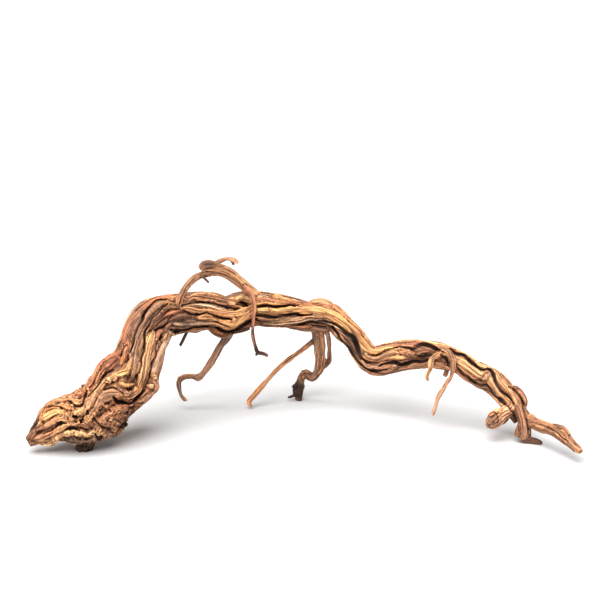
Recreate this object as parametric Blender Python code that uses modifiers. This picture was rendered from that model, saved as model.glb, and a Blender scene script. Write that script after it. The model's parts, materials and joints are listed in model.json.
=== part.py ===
"""Curly driftwood: one long arched piece of dry vine wood.

It stands on a root burl at the left, a curled leg under the middle and a foot at the right.
The trunk is a core with strands of wood lying along it, parted by deep cracks, and thin roots
grow out of it. All of it grew as one, so it ends as one solid.

Lengths are in millimetres until the mesh is made, which is in metres. +X runs from the burl
to the slim end, +Y runs back from the viewer and +Z is up.
"""

import math
import random

import bmesh
import bpy
import numpy as np
from mathutils import Matrix, Vector

NAME = "driftwood"
PIECES = "pieces"
MM = 0.001
WELD = 1e-6

# The routes give each point as it is seen from the front, from a little above: x, then rise,
# which is the height in a plane square to that view, then depth, which is how far back the
# point lies, and last the radius.
VIEW_TILT = math.radians(18)
VIEW_DISTANCE = 2500
VIEW_CENTRE_X = -5
VIEW_CENTRE_RISE = 187.5
UP = Vector((0, math.sin(VIEW_TILT), math.cos(VIEW_TILT)))
AHEAD = Vector((0, math.cos(VIEW_TILT), -math.sin(VIEW_TILT)))
EYE = Vector((VIEW_CENTRE_X, 0, 0)) + UP * VIEW_CENTRE_RISE - AHEAD * VIEW_DISTANCE

# What brings the middle of the footprint to the origin.
CENTRE_X = -2.2
CENTRE_Y = 67.5

# The skin over the joined pieces: the finest crack that it keeps, and its triangles.
VOXEL = 1.5
TRIANGLES = 11800

# Steps along a route, and the sides of each kind of tube.
ROUTE_STEP = 4.0
STRAND_SIDES = 10
CORE_SIDES = 24

# The cracks between the strands reach this far down, or this share of a slim stretch.
CRACK_DEPTH = 9.0
CRACK_SHARE = 0.45

# A strand is an oval that stands on the core. It is a little slimmer than its route says, its
# half height is this share of its half width or more, its root is sunk into the core, some stand
# prouder than others, and both of its ends dive in.
STRAND_SLIM = 0.82
STRAND_HEIGHT = 0.7
STRAND_ROOT = 2.5
STRAND_PROUD = (-0.8, 1.4)
STRAND_DIVE = 12.0
STRAND_TIP = 0.4
STRAND_SEED = 5

# Strands of the far side lie in lanes round the trunk, from its underside over the back to its
# top. Each lane is filled with one strand after another, which sway and end in the next lane.
# Stretches, starts, ends and laps are counted in trunk rows, sways and drifts in degrees.
FAR_LANES = 13
FAR_ANGLES = (-12, 192)
FAR_STRETCH = (20, 50)
FAR_HALF_WIDTH = (3.2, 5.8)
FAR_SWELL = 0.2
FAR_SWELL_TURN = 12
FAR_FULL_RADIUS = 25
FAR_START = (1, 10)
FAR_LAP = (2, 7)
FAR_LAST_START = 12
FAR_LAST_END = 2
FAR_SWAY = 6
FAR_SWAY_TURN = 7
FAR_DRIFT = 14
FAR_SEED = 7

# Knots on the far side of the burl.
FAR_KNOTS = 34
FAR_KNOT_START = 14
FAR_KNOT_RADIUS = (3.0, 6.0)
BURL_SHARE = 0.2
KNOT_SUNK = 0.45
KNOT_FLAT = 0.7
KNOT_SEED = 21

# The trunk: x, rise, depth and the radius out to the tops of its strands.
TRUNK = [
    (-346, 11, -12, 7), (-335, 22, -8, 14), (-318, 33, -3, 24), (-295, 39, 2, 31), (-270, 45, 8, 36),
    (-245, 62, 25, 38), (-224, 85, 42, 37), (-211, 107, 53, 33), (-203, 127, 61, 30),
    (-200, 145, 68, 28), (-190, 162, 77, 28), (-170, 168, 91, 27), (-145, 172, 110, 25),
    (-120, 174, 124, 25), (-100, 169, 133, 24), (-80, 174, 140, 24), (-60, 177, 147, 23),
    (-30, 175, 153, 21), (0, 168, 156, 19), (20, 168, 155, 20), (36, 164, 152, 18), (50, 153, 148, 15),
    (62, 141, 144, 14.5), (72, 126, 141, 15.5), (82, 115, 137, 17.5), (96, 112, 131, 19),
    (120, 117, 119, 19), (145, 119, 107, 18), (165, 119, 97, 17), (182, 115, 89, 15),
    (197, 108, 82, 14), (212, 98, 75, 15), (228, 91, 67, 16), (242, 81, 59, 16), (254, 68, 51, 15),
    (264, 55, 43, 13), (271, 43, 36, 9),
]

# Strands on the near side of the trunk: x, rise and half width. They lie on its surface.
NEAR_STRANDS = {
    "burl_edge": [
        (-346, 13, 4), (-339, 25, 5), (-332, 38, 5), (-326, 50, 5), (-315, 59, 6), (-300, 65, 6),
        (-287, 70, 5),
    ],
    "burl_brow": [
        (-327, 50, 4), (-316, 56, 4.5), (-304, 57, 4.5), (-294, 54, 4), (-286, 49, 3),
    ],
    "burl_lid": [
        (-333, 36, 3), (-322, 44, 4.5), (-310, 49, 5), (-299, 45, 4.5), (-289, 43, 4),
    ],
    "burl_cheek": [
        (-335, 25, 3.5), (-325, 30, 4.5), (-313, 36, 5), (-302, 40, 4.5), (-292, 36, 4), (-283, 38, 4),
    ],
    "burl_jaw": [
        (-340, 12, 4.5), (-327, 15, 5), (-313, 21, 5), (-301, 29, 4), (-290, 30, 3.5), (-280, 31, 4),
    ],
    "burl_sole": [
        (-330, 8, 4), (-313, 12, 5), (-298, 19, 5), (-285, 20, 4), (-271, 16, 4), (-259, 19, 5),
        (-248, 17, 4),
    ],
    "burl_pad": [
        (-296, 60, 4), (-288, 62, 6), (-281, 62, 5.5), (-276, 66, 3.5),
    ],
    "burl_rim": [
        (-281, 71, 3), (-273, 80, 4.5), (-264, 92, 5.5), (-256, 103, 6), (-245, 114, 6), (-235, 123, 5),
    ],
    "burl_fold": [
        (-292, 48, 3.5), (-281, 47, 4.5), (-271, 57, 5.5), (-264, 69, 6), (-257, 80, 5.5),
        (-250, 90, 4.5),
    ],
    "burl_ridge": [
        (-280, 27, 3.5), (-272, 34, 4.5), (-267, 44, 5), (-260, 54, 5.5),
    ],
    "burl_face": [
        (-264, 42, 5), (-257, 58, 7), (-248, 69, 8), (-236, 71, 7.5), (-225, 70, 5.5), (-214, 70, 4),
    ],
    "burl_belly": [
        (-262, 24, 4.5), (-252, 33, 5), (-243, 44, 4.5), (-231, 48, 4.5), (-218, 51, 5), (-207, 57, 5),
    ],
    "burl_heel": [
        (-252, 14, 4), (-242, 20, 5), (-234, 31, 5), (-226, 42, 5),
    ],
    "burl_lip": [
        (-233, 66, 3), (-224, 65, 4), (-214, 66, 4.5), (-206, 73, 4.5), (-202, 82, 4.5),
    ],
    "burl_lobe": [
        (-205, 54, 4.5), (-197, 63, 5), (-190, 73, 5), (-186, 85, 5), (-185, 94, 4),
    ],
    "burl_hook": [
        (-217, 118, 3.5), (-218, 108, 4), (-222, 99, 4), (-231, 96, 4.5), (-241, 92, 4),
        (-249, 85, 3.5),
    ],
    "burl_wave": [
        (-241, 78, 3), (-232, 83, 4), (-223, 80, 4), (-213, 80, 4),
    ],
    "neck_edge": [
        (-233, 108, 4), (-228, 120, 5), (-226, 135, 6), (-222, 151, 7), (-213, 167, 7), (-200, 181, 6),
        (-185, 190, 4.5), (-168, 193, 4), (-155, 191, 3.5),
    ],
    "neck_outer": [
        (-219, 112, 3.5), (-217, 126, 4), (-211, 142, 4.5), (-204, 157, 5), (-195, 171, 4.5),
        (-182, 183, 4), (-166, 187, 4),
    ],
    "neck_middle": [
        (-213, 92, 5), (-211, 106, 5.5), (-209, 121, 5), (-205, 134, 4), (-199, 148, 3.5),
        (-189, 162, 3.5), (-177, 176, 3.5), (-165, 181, 3.5),
    ],
    "neck_bright": [
        (-201, 82, 5), (-201, 95, 5.5), (-199, 110, 6.5), (-195, 125, 6.5), (-191, 138, 6),
        (-186, 147, 4),
    ],
    "neck_inner": [
        (-193, 86, 3), (-192, 98, 3.5), (-188, 112, 4), (-184, 127, 4.5), (-181, 141, 4),
        (-173, 152, 3.5), (-165, 162, 3.5),
    ],
    "neck_back_edge": [
        (-186, 88, 5), (-184, 102, 5), (-179, 117, 5), (-174, 132, 5), (-170, 144, 4.5), (-162, 150, 4),
    ],
    "crook_red": [
        (-199, 148, 2.6), (-189, 156, 3), (-179, 166, 3), (-168, 171, 3), (-158, 174, 2.6),
    ],
    "crook_thin": [
        (-203, 140, 2.4), (-194, 156, 2.6), (-184, 168, 2.8), (-172, 178, 2.6), (-160, 180, 2.4),
    ],
    "crook_low": [
        (-189, 149, 3), (-178, 157, 3.5), (-168, 163, 4), (-155, 167, 4), (-143, 166, 4),
        (-133, 164, 3),
    ],
    "mid_top": [
        (-147, 196, 2.4), (-134, 198, 2.4), (-120, 198, 2.6), (-108, 195, 2.4), (-98, 191, 2.4),
        (-90, 192, 3), (-81, 196, 3.2),
    ],
    "mid_upper": [
        (-150, 188, 3), (-140, 192, 4), (-127, 191, 4.5), (-113, 190, 4.8), (-100, 187, 5),
        (-90, 184, 4.5), (-80, 184, 3.5),
    ],
    "mid_swell": [
        (-92, 189, 3), (-84, 193, 4), (-75, 194, 4.5), (-68, 191, 4), (-62, 186, 3),
    ],
    "mid_line": [
        (-152, 184, 2.6), (-140, 184, 3), (-128, 182.5, 3), (-116, 181, 3), (-105, 178, 3),
        (-94, 176, 3.5),
    ],
    "mid_belt": [
        (-157, 179, 2.6), (-145, 177, 2.8), (-132, 174.5, 3), (-120, 174, 3.2), (-109, 172.5, 3.5),
        (-98, 171, 4.5), (-87, 170, 5.5), (-76, 173, 5.5), (-66, 178, 5),
    ],
    "elbow": [
        (-140, 166, 3), (-128, 166, 4.2), (-115, 165.5, 4.2), (-104, 161, 4.5), (-94, 157, 6),
        (-85, 158, 6.5), (-77, 164, 6), (-69, 171, 5), (-61, 176, 4),
    ],
    "elbow_low": [
        (-127, 159, 2.6), (-114, 159, 3), (-105, 156, 3.5), (-97, 152, 4), (-89, 152, 4),
        (-81, 156, 3.5), (-73, 162, 3),
    ],
    "under_line": [
        (-168, 157, 2.4), (-150, 157, 2.4), (-135, 158, 2.2), (-120, 157.5, 2.2), (-108, 154, 2.4),
    ],
    "under_edge": [
        (-166, 150, 3), (-150, 151, 3), (-135, 152.5, 2.6), (-120, 151, 3), (-108, 147, 3.2),
        (-97, 145, 3), (-87, 148, 2.4),
    ],
    "under_low": [
        (-168, 143, 3.5), (-154, 147, 3), (-140, 148, 2.6), (-126, 147, 2.6),
    ],
    "back_top": [
        (-72, 199, 2.6), (-58, 199, 2.4), (-43, 197.5, 2.4), (-32, 194.5, 2.6), (-22, 190.5, 2.4),
        (-11, 187.5, 2.4), (2, 185, 2),
    ],
    "back_pale": [
        (-66, 194, 2.4), (-50, 193, 2.5), (-36, 190.5, 2.2), (-26, 188, 2),
    ],
    "back_upper": [
        (-64, 189, 2.4), (-46, 188.5, 2.4), (-31, 186.5, 2.4), (-18, 186, 2.4), (-5, 183.5, 2.6),
        (8, 183, 2.6), (21, 181, 2.8), (33, 178, 3), (42, 172, 3),
    ],
    "back_second": [
        (-64, 183.5, 2.2), (-48, 183.5, 2.4), (-36, 183, 2.4), (-24, 183.5, 2), (-12, 184, 1.8),
    ],
    "back_broad": [
        (-64, 174.5, 3.5), (-50, 174.5, 4.5), (-38, 174.5, 4.5), (-25, 175.5, 4.5), (-12, 177, 4.5),
        (0, 177, 5.5), (12, 176, 6), (24, 174, 7), (36, 170, 7), (48, 162, 7), (60, 151, 6.5),
        (69, 140, 6.5), (77, 131, 5.5), (86, 125.5, 5), (95, 126, 4.5), (105, 129, 4.5),
        (117, 130.5, 4),
    ],
    "back_thin": [
        (-64, 164.5, 1.8), (-51, 163, 2), (-40, 161.5, 2), (-28, 162, 2), (-15, 163, 2), (-3, 165, 2),
        (8, 167, 2.2), (20, 166.5, 2.4), (30, 165, 2.4),
    ],
    "back_lower": [
        (-50, 158, 2), (-38, 157, 2), (-28, 158, 2), (-15, 159, 2.2), (-2, 161, 2.2), (10, 162.5, 2.2),
        (22, 161, 2.4), (33, 158.5, 2.6), (43, 154, 2.8), (52, 148, 2.6), (61, 140, 2.4),
        (68, 131, 2.2), (73, 122, 2),
    ],
    "back_edge": [
        (-67, 157, 2.6), (-52, 155.5, 2.6), (-38, 154.5, 2.4), (-25, 154, 2.2), (-12, 153.5, 2.4),
        (0, 153, 3), (12, 153, 3),
    ],
    "crest": [
        (2, 187, 2), (14, 189, 2.6), (24, 189.5, 2.8), (34, 185, 2.8), (43, 178, 2.6), (53, 168.5, 2.4),
        (63, 159, 2.4), (72, 150.5, 2.2), (79, 142, 2),
    ],
    "slope_edge": [
        (24, 153, 2), (33, 147.5, 2.4), (42, 140, 2.6), (50, 134, 2.8), (57, 125, 3), (62, 116, 3),
        (68, 108.5, 2.8), (75, 102, 2.6), (82, 96.5, 2.8), (91, 94.5, 3), (102, 94.5, 3),
        (112, 97, 3.2), (124, 100, 3.5), (138, 103, 4), (152, 105, 4), (164, 107, 3),
    ],
    "slope_inner": [
        (36, 152, 2), (46, 146, 2.2), (55, 138, 2.2), (62, 128, 2.2), (68, 119, 2.2), (73, 112, 2.2),
    ],
    "dip_upper": [
        (72, 124, 2), (80, 117.5, 2.4), (87, 115.5, 2.6), (95, 117, 2.8), (103, 120.5, 3),
        (113, 123, 3), (122, 122, 3),
    ],
    "dip_middle": [
        (71, 118, 1.8), (77, 112.5, 1.8), (84, 110.5, 2), (94, 112, 2), (104, 115, 2.2),
        (114, 116, 2.4), (124, 115.5, 3), (134, 116.5, 3),
    ],
    "dip_lower": [
        (71, 110, 2), (78, 104.5, 2.3), (88, 102.5, 2.4), (98, 103, 2.4), (108, 103.5, 2.2),
        (117, 106, 2), (127, 108.5, 1.8),
    ],
    "right_top": [
        (90, 131, 2.2), (103, 133, 2.8), (117, 136, 3), (131, 137, 3), (150, 136.5, 3), (166, 134, 3.4),
        (181, 130, 3.8), (195, 124, 3.5), (208, 116.5, 3.5), (220, 108, 4), (232, 103, 4.5),
        (242, 97, 5.5), (249, 88, 5.5), (256, 79, 5), (262, 71, 4.2), (268, 61, 4), (273, 52, 4),
    ],
    "knot_arm": [
        (117, 130, 3.5), (124, 132, 3), (134, 132, 2.4), (143, 133, 2),
    ],
    "knot_wave": [
        (122, 125, 3.5), (131, 122, 3.5), (141, 119, 2.6), (149, 122.5, 2), (158, 124, 2),
        (166, 125, 2.2), (172, 129, 2.2),
    ],
    "right_middle": [
        (163, 119, 2.8), (174, 120, 3.2), (184, 119, 3.8), (193, 113.5, 4.8), (202, 108, 5),
        (211, 101, 5.5), (220, 94, 5.8), (229, 91, 6), (236, 83, 5.5), (242, 75, 5), (249, 66, 4.8),
        (256, 59, 5), (261, 52, 5),
    ],
    "right_low": [
        (190, 105, 2.4), (199, 99, 2.6), (208, 91.5, 2.6), (218, 87, 2.4),
    ],
    "right_edge": [
        (178, 103.5, 2.4), (192, 100.5, 2.4), (203, 91, 2.6), (213, 82.5, 3), (223, 77.5, 3.2),
        (231, 75.5, 3), (239, 67.5, 2.6), (246, 60, 2.6), (251, 53, 3),
    ],
    "shoulder": [
        (252, 83, 2.6), (261, 80, 3), (270, 74, 3.2), (276, 65, 3.2), (279.5, 54, 3),
    ],
}

# Knots on the near side: x, rise and radius.
NEAR_KNOTS = [
    (-302, 70, 4.5), (-246, 88, 5), (-237, 89, 4), (-211, 87, 5.5), (-222, 89, 4), (-214, 77, 4),
    (-258, 97, 3.5), (-246, 103, 4.5), (-237, 107, 4.5), (-191, 79, 4.5), (-186, 91, 5),
    (-198, 59, 4.5), (-207, 51, 4.5), (-217, 47, 4), (-253, 44, 4), (-241, 37, 4.5), (-231, 51, 4),
    (-273, 40, 4), (-247, 55, 3.5), (-255, 24, 4.5), (-245, 15, 4.5), (-236, 26, 4.5), (-283, 36, 4),
    (-250, 35, 4), (-263, 31, 4), (-227, 58, 3.5), (-182, 137, 5), (-75, 183, 6), (170, 121, 4.5),
    (260, 53, 5.5), (228, 92, 6), (-43, 176, 4), (-88, 163, 6), (130, 120, 4),
]

# Limbs that stand clear of the trunk: x, rise, depth and radius.
LIMBS = {
    "nub": [
        (-269, 26, 8, 15), (-273, 13, 5, 13), (-275, 5, 3.5, 12), (-275, -0.5, 3, 10.5),
    ],
    "heel": [
        (-237, 38, 28, 18), (-241, 25, 31, 11), (-243, 19, 32, 6),
    ],
    "snout_tip": [
        (-330, 20, -5, 10), (-341, 13, -10, 8), (-346, 10, -12, 6),
    ],
    "loop_under": [
        (-158, 176, 90, 3), (-156, 188, 88, 3.6), (-151, 199, 91, 4), (-143, 210, 95, 4.4),
        (-133, 217.5, 100, 4.4), (-122, 221, 105, 4), (-110, 221.5, 111, 3), (-98, 218, 117, 2.7),
        (-87, 211, 124, 2.8), (-77, 203, 131, 3), (-68, 195, 138, 3.5), (-62, 188, 141, 3.5),
    ],
    "loop_over": [
        (-129, 226, 101, 3.5), (-125, 230, 101, 5.8), (-118, 231, 103, 6.2), (-109, 229, 107, 5),
        (-99, 226, 113, 4.4), (-89, 220.5, 120, 4.4), (-79, 212, 128, 4.6), (-70, 204.5, 135, 4.6),
        (-60, 196, 142, 4.4), (-52, 190, 145, 3.5),
    ],
    "loop_twig": [
        (-116, 231, 104, 3), (-107, 236, 100, 2.6), (-98, 239.5, 94, 2.4), (-91, 239, 89, 2.5),
        (-86, 237, 85, 2.8), (-83, 234, 82, 1.6),
    ],
    "loop_spur": [
        (-91, 238, 89, 2), (-88, 231.5, 88, 1.4),
    ],
    "loop_thorn": [
        (-130, 219, 99, 2), (-124.5, 215, 97, 1.8), (-119, 210, 95, 1.2),
    ],
    "crest_strand": [
        (-112, 197, 118, 2), (-121, 201, 116, 2.2), (-132, 200.5, 110, 2.2), (-145, 197, 103, 2.4),
        (-152, 191, 98, 2.4),
    ],
    "crest_bridge": [
        (-122, 201, 116, 2), (-113, 199.5, 119, 2), (-104, 195, 123, 2), (-96, 191, 127, 2),
    ],
    "tendril": [
        (-80, 209, 128, 2), (-70, 201, 123, 2.2), (-64.5, 193, 119, 2), (-62.5, 184, 118, 2),
        (-62, 175, 118, 2), (-63, 166, 119, 2), (-64, 157, 120, 2), (-65, 148, 122, 1.9),
        (-63.5, 140, 124, 1.8), (-61, 131, 125, 1.8), (-58, 123, 126, 1.9), (-51, 121, 124, 1.6),
        (-45, 118, 122, 1.2),
    ],
    "tendril_fork": [
        (-58, 124, 126, 1.6), (-60.5, 118.5, 126, 1.2),
    ],
    "left_root": [
        (-90, 158, 138, 6), (-94, 146, 140, 5.5), (-100, 136.5, 143, 4.8), (-106.5, 128, 145, 4.3),
        (-111.5, 118, 147, 4.3), (-118, 107, 148, 4.1), (-124.5, 98.5, 149, 4), (-132, 91.5, 149, 4.2),
        (-139, 93, 148, 3.2), (-146, 93, 147, 3.1), (-152.5, 91, 146, 3.1), (-157, 86, 145, 3.2),
        (-156.5, 79, 144, 3), (-154.5, 71, 143, 2.5), (-151.5, 65.5, 143, 2.2), (-149, 62.5, 143, 1.7),
    ],
    "right_root": [
        (18, 144, 158, 3), (9, 135, 159, 3), (-2, 126.5, 158, 2.7), (-13, 118.5, 156, 2.7),
        (-24, 110, 154, 2.9), (-34, 100.5, 152, 2.9), (-43, 91, 150, 2.9), (-51, 82, 148, 2.9),
        (-57, 75, 147, 3), (-63, 68, 146, 3.1), (-69, 61.5, 145, 3.1), (-68.5, 58.5, 144, 2.6),
        (-65.5, 56, 143, 1.7),
    ],
    "leg": [
        (12, 160, 156, 6), (15, 146, 161, 5.4), (17, 132, 166, 5), (18.5, 118, 170, 5),
        (18.5, 106, 173, 5.2), (16, 97, 175, 5.4), (10, 91, 176, 5.4), (3, 93.5, 177, 5),
        (-2, 91, 178, 4.8), (-4.5, 84, 178, 5.2), (-6, 76, 178, 5.8), (-6.5, 69, 178, 5.2),
        (-6, 61.5, 178, 4.4),
    ],
    "leg_middle": [
        (21, 160, 154, 4.4), (22, 146, 160, 3.6), (23, 132, 164, 3.3), (23, 118, 168, 3.4),
        (22, 106, 171, 4.2), (18, 97, 173, 4.4),
    ],
    "leg_outer": [
        (28, 156, 153, 2.8), (32, 143, 157, 2.4), (34, 131, 162, 2.2), (34, 120, 166, 2.4),
        (31, 111.5, 170, 2.8), (25, 105, 172, 3),
    ],
    "leg_thorn": [
        (-5, 81, 176, 4), (-11, 80.5, 174, 2.6), (-15, 80.5, 172, 1.4),
    ],
    "leg_toe": [
        (-6, 71, 176, 2.6), (-13, 68.5, 174, 1.7), (-20, 66, 172, 1.3),
    ],
    "under_bow": [
        (-118, 152, 122, 2.2), (-110, 146, 120, 2.3), (-102, 143, 121, 2.4), (-95, 144.5, 124, 2.2),
        (-88, 147.5, 128, 2.2), (-78, 149.5, 131, 2.1), (-68, 153, 134, 2.4),
    ],
    "short_twig": [
        (-140, 158, 118, 2), (-147, 147, 120, 1.8), (-151.5, 138, 121, 1.6), (-155.5, 130.5, 122, 1.4),
    ],
    "small_root": [
        (172, 121, 84, 3.2), (165, 118, 78, 2.9), (159.5, 113.5, 75, 2.8), (158.5, 107, 73, 2.8),
        (158.5, 102, 73, 2.5), (155.5, 97, 72, 2.5), (154, 92, 72, 2), (155, 86.5, 72, 1.5),
    ],
    "rear_root": [
        (177, 114, 88, 2.8), (179.5, 106, 88, 2.3), (179, 99, 88, 2.3), (176.5, 93, 88, 2.2),
    ],
    "long_root": [
        (174, 128, 80, 3), (181, 123.5, 75, 3.4), (186, 116, 72, 3.4), (187.5, 107.5, 70, 3.2),
        (186, 99, 70, 3.1), (182.5, 90.5, 70, 2.9), (177.5, 82, 70, 2.9), (172.5, 74, 70, 2.8),
        (168, 65, 70, 2.4), (165.5, 56, 70, 2.3), (163, 48.5, 69, 2.4), (161, 44, 69, 2.3),
    ],
    "stub": [
        (263, 56, 44, 6), (256, 49.5, 39, 6.5), (248, 44, 34, 7), (240, 38, 30, 7.8),
        (234.5, 33.5, 27, 7.2), (231.5, 31, 26, 5), (230, 29.5, 25, 3),
    ],
    "stub_lobe": [
        (246, 47, 34, 4), (239, 46, 31, 4.5), (233.5, 41, 28, 4.5),
    ],
    "stub_spur": [
        (256, 45, 38, 4), (252, 38, 36, 3.2), (248, 33.5, 35, 2.6),
    ],
    "web": [
        (258, 52, 42, 6), (262, 43, 41, 4.6), (266, 35, 40, 3),
    ],
    "foot_front": [
        (266, 62, 42, 5), (271, 50, 36, 5), (274.5, 40, 30, 5.2), (276, 30, 27, 5.6), (276, 21, 25, 6),
        (275, 14, 24, 5),
    ],
    "foot_left": [
        (264, 54, 40, 3), (269.5, 42, 33, 3), (270.5, 32, 28, 3), (269, 24, 27, 4),
        (269, 17.5, 26, 4.2),
    ],
    "foot_rear": [
        (274, 52, 38, 4), (279, 41, 35, 3.6), (281.5, 31, 32, 3), (281.5, 21, 29, 3.4),
        (279.5, 15, 27, 4),
    ],
    "foot_toe": [
        (274, 14, 26, 5), (280, 13, 25, 4.8), (286, 11.3, 23.5, 4.6), (292, 9.8, 21.5, 4.2),
        (296, 8.8, 20, 3.4), (298, 8, 19, 2.4),
    ],
    "slim_end": [
        (271, 50, 38, 6), (280, 40, 32, 6.5), (290, 32.5, 22, 6.5), (300, 29.5, 12, 6.2),
        (310, 27, 2, 6), (319, 23.5, -8, 6.4), (327, 17.5, -18, 6.2), (334, 10, -28, 5.2),
        (340, 4, -37, 4.8), (345, 0, -44, 4.2), (347, -2, -47, 3),
    ],
    "slim_end_ridge": [
        (282, 43, 28, 3), (293, 36, 18, 3), (304, 32, 6, 3), (315, 28.5, -5, 3.4), (325, 25, -15, 3.4),
        (332, 17.5, -24, 3),
    ],
    "slim_end_low": [
        (284, 31, 24, 3), (296, 25, 12, 3), (308, 22, 0, 3), (319, 17, -12, 3), (330, 8.5, -26, 3),
        (341, -1, -40, 2.6),
    ],
}


def seen(x, rise, depth):
    """The point at this depth on the line of sight through x and rise."""
    on_plane = Vector((x, 0, 0)) + UP * rise
    share = float(depth - EYE.y) / (on_plane.y - EYE.y)
    return EYE + share * (on_plane - EYE)


def smooth(route):
    """Rows at even steps along a Catmull-Rom curve through a route's rows."""
    rows = np.array(route, float)
    rows = np.vstack([2 * rows[0] - rows[1], rows, 2 * rows[-1] - rows[-2]])
    made = []
    for a, b, c, d in zip(rows, rows[1:], rows[2:], rows[3:]):
        count = max(1, round(float(np.linalg.norm((c - b)[:2])) / ROUTE_STEP))
        for t in np.arange(count) / count:
            bend = (2 * a - 5 * b + 4 * c - d) * t**2 + (3 * b - a - 3 * c + d) * t**3
            made.append(b + 0.5 * ((c - a) * t + bend))
    made.append(rows[-2])
    return np.array(made)


TRUNK_ROWS = smooth(TRUNK)
TRUNK_AXIS = [seen(x, rise, depth) for x, rise, depth, _ in TRUNK_ROWS]


def directions(points):
    """The way along a line of points, at each of them."""
    ahead = points[1:] + points[-1:]
    behind = points[:1] + points[:-1]
    return [(a - b).normalized() for a, b in zip(ahead, behind)]


TRUNK_WAYS = directions(TRUNK_AXIS)


def add_piece(name, mesh):
    """Puts a closed mesh among the pieces that are joined later."""
    bmesh.ops.remove_doubles(mesh, verts=mesh.verts, dist=WELD)
    bmesh.ops.translate(mesh, verts=mesh.verts, vec=(-CENTRE_X * MM, -CENTRE_Y * MM, 0))
    bmesh.ops.recalc_face_normals(mesh, faces=mesh.faces)
    shape = bpy.data.meshes.new(name)
    mesh.to_mesh(shape)
    mesh.free()
    piece = bpy.data.objects.new(name, shape)
    piece.hide_render = True
    piece.display_type = "WIRE"
    bpy.data.collections[PIECES].objects.link(piece)


def add_tube(name, centres, outs, widths, heights, sides):
    """A closed tube of oval sections: half widths across it, half heights along the outs."""
    mesh = bmesh.new()
    rings = []
    for centre, along, out, wide, high in zip(centres, directions(centres), outs, widths, heights):
        across = along.cross(out).normalized() * wide
        lift = across.cross(along).normalized() * high
        ring = []
        for side in range(sides):
            angle = 2 * math.pi * side / sides
            ring.append(mesh.verts.new((centre + across * math.cos(angle) + lift * math.sin(angle)) * MM))
        rings.append(ring)
    for near, far in zip(rings, rings[1:]):
        for side in range(sides):
            mesh.faces.new((near[side - 1], near[side], far[side], far[side - 1]))
    mesh.faces.new(rings[0])
    mesh.faces.new(reversed(rings[-1]))
    add_piece(name, mesh)


def crack_depth(radius):
    """How deep the cracks are in a stretch of this radius."""
    return min(CRACK_DEPTH, CRACK_SHARE * radius)


def add_core():
    """The trunk under its strands."""
    radii = [radius - crack_depth(radius) for radius in TRUNK_ROWS[:, 3]]
    add_tube("core", TRUNK_AXIS, [AHEAD] * len(radii), radii, radii, CORE_SIDES)


def add_strand(name, places, proud):
    """A strand along the trunk. Each place is a trunk row's number, the way out and a half width."""
    centres, outs, widths, heights = [], [], [], []
    for i, (row, out, reach, half) in enumerate(places):
        to_end = ROUTE_STEP * min(i, len(places) - 1 - i) / STRAND_DIVE
        grown = STRAND_TIP + (1 - STRAND_TIP) * math.sin(math.pi / 2 * min(1, to_end))
        radius = TRUNK_ROWS[row, 3]
        high = max(STRAND_HEIGHT * half, 0.5 * (crack_depth(radius) + STRAND_ROOT))
        sunk = high + (1 - grown) * crack_depth(radius) - proud
        centres.append(TRUNK_AXIS[row] + out * (reach - sunk))
        outs.append(out)
        widths.append(half * STRAND_SLIM * grown)
        heights.append(high)
    add_tube(name, centres, outs, widths, heights, STRAND_SIDES)


def on_near_side(x, rise, half):
    """The trunk row beside x and rise, the way out to the near surface there, and how far it is.

    What lies along the trunk's outline as seen reaches half its width past its route.
    """
    flat = TRUNK_ROWS[:, :2] - (x, rise)
    row = int(np.argmin((flat**2).sum(1)))
    radius = TRUNK_ROWS[row, 3]
    offset = float(np.hypot(*flat[row]))
    bulge = math.sqrt(max(radius**2 - offset**2, 0))
    depth = TRUNK_ROWS[row, 2] - bulge * math.cos(VIEW_TILT)
    depth += (rise - TRUNK_ROWS[row, 1]) * math.sin(VIEW_TILT)
    way = seen(x, rise, depth) - TRUNK_AXIS[row]
    return row, way.normalized(), max(radius, offset + half)


def add_near_strands():
    """Strands along the side that is seen."""
    draw = random.Random(STRAND_SEED)
    for name, route in NEAR_STRANDS.items():
        places = [(*on_near_side(x, rise, half), half) for x, rise, half in smooth(route)]
        add_strand(name, places, draw.uniform(*STRAND_PROUD))


def round_trunk(row, angle):
    """The way out of the trunk at this angle: 0 is its underside and 90 the side away from view."""
    along = TRUNK_WAYS[row]
    rear = (AHEAD - along * AHEAD.dot(along)).normalized()
    under = rear.cross(along)
    return under * math.cos(math.radians(angle)) + rear * math.sin(math.radians(angle))


def add_far_strands():
    """Strands along the side that isn't seen."""
    draw = random.Random(FAR_SEED)
    first, last = FAR_ANGLES
    rows = len(TRUNK_AXIS)
    for lane in range(FAR_LANES):
        middle = first + (last - first) * lane / (FAR_LANES - 1)
        start = draw.randrange(*FAR_START)
        while start < rows - FAR_LAST_START:
            end = min(start + draw.randrange(*FAR_STRETCH), rows - FAR_LAST_END)
            half = draw.uniform(*FAR_HALF_WIDTH)
            phase = draw.uniform(0, 2 * math.pi)
            drifts = [draw.uniform(-FAR_DRIFT, FAR_DRIFT) for _ in range(2)]
            places = []
            for row in range(start, end):
                share = (row - start) / (end - start)
                drift = drifts[0] * (1 - share) ** 3 + drifts[1] * share**3
                sway = FAR_SWAY * math.sin(FAR_SWAY_TURN * share + phase)
                radius = TRUNK_ROWS[row, 3]
                swell = 1 + FAR_SWELL * math.sin(FAR_SWELL_TURN * share + 2 * phase)
                wide = half * swell * (0.5 + 0.5 * radius / FAR_FULL_RADIUS)
                places.append((row, round_trunk(row, middle + drift + sway), radius, wide))
            add_strand(f"far_{lane}_{start}", places, draw.uniform(*STRAND_PROUD))
            start = end - draw.randrange(*FAR_LAP)


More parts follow.
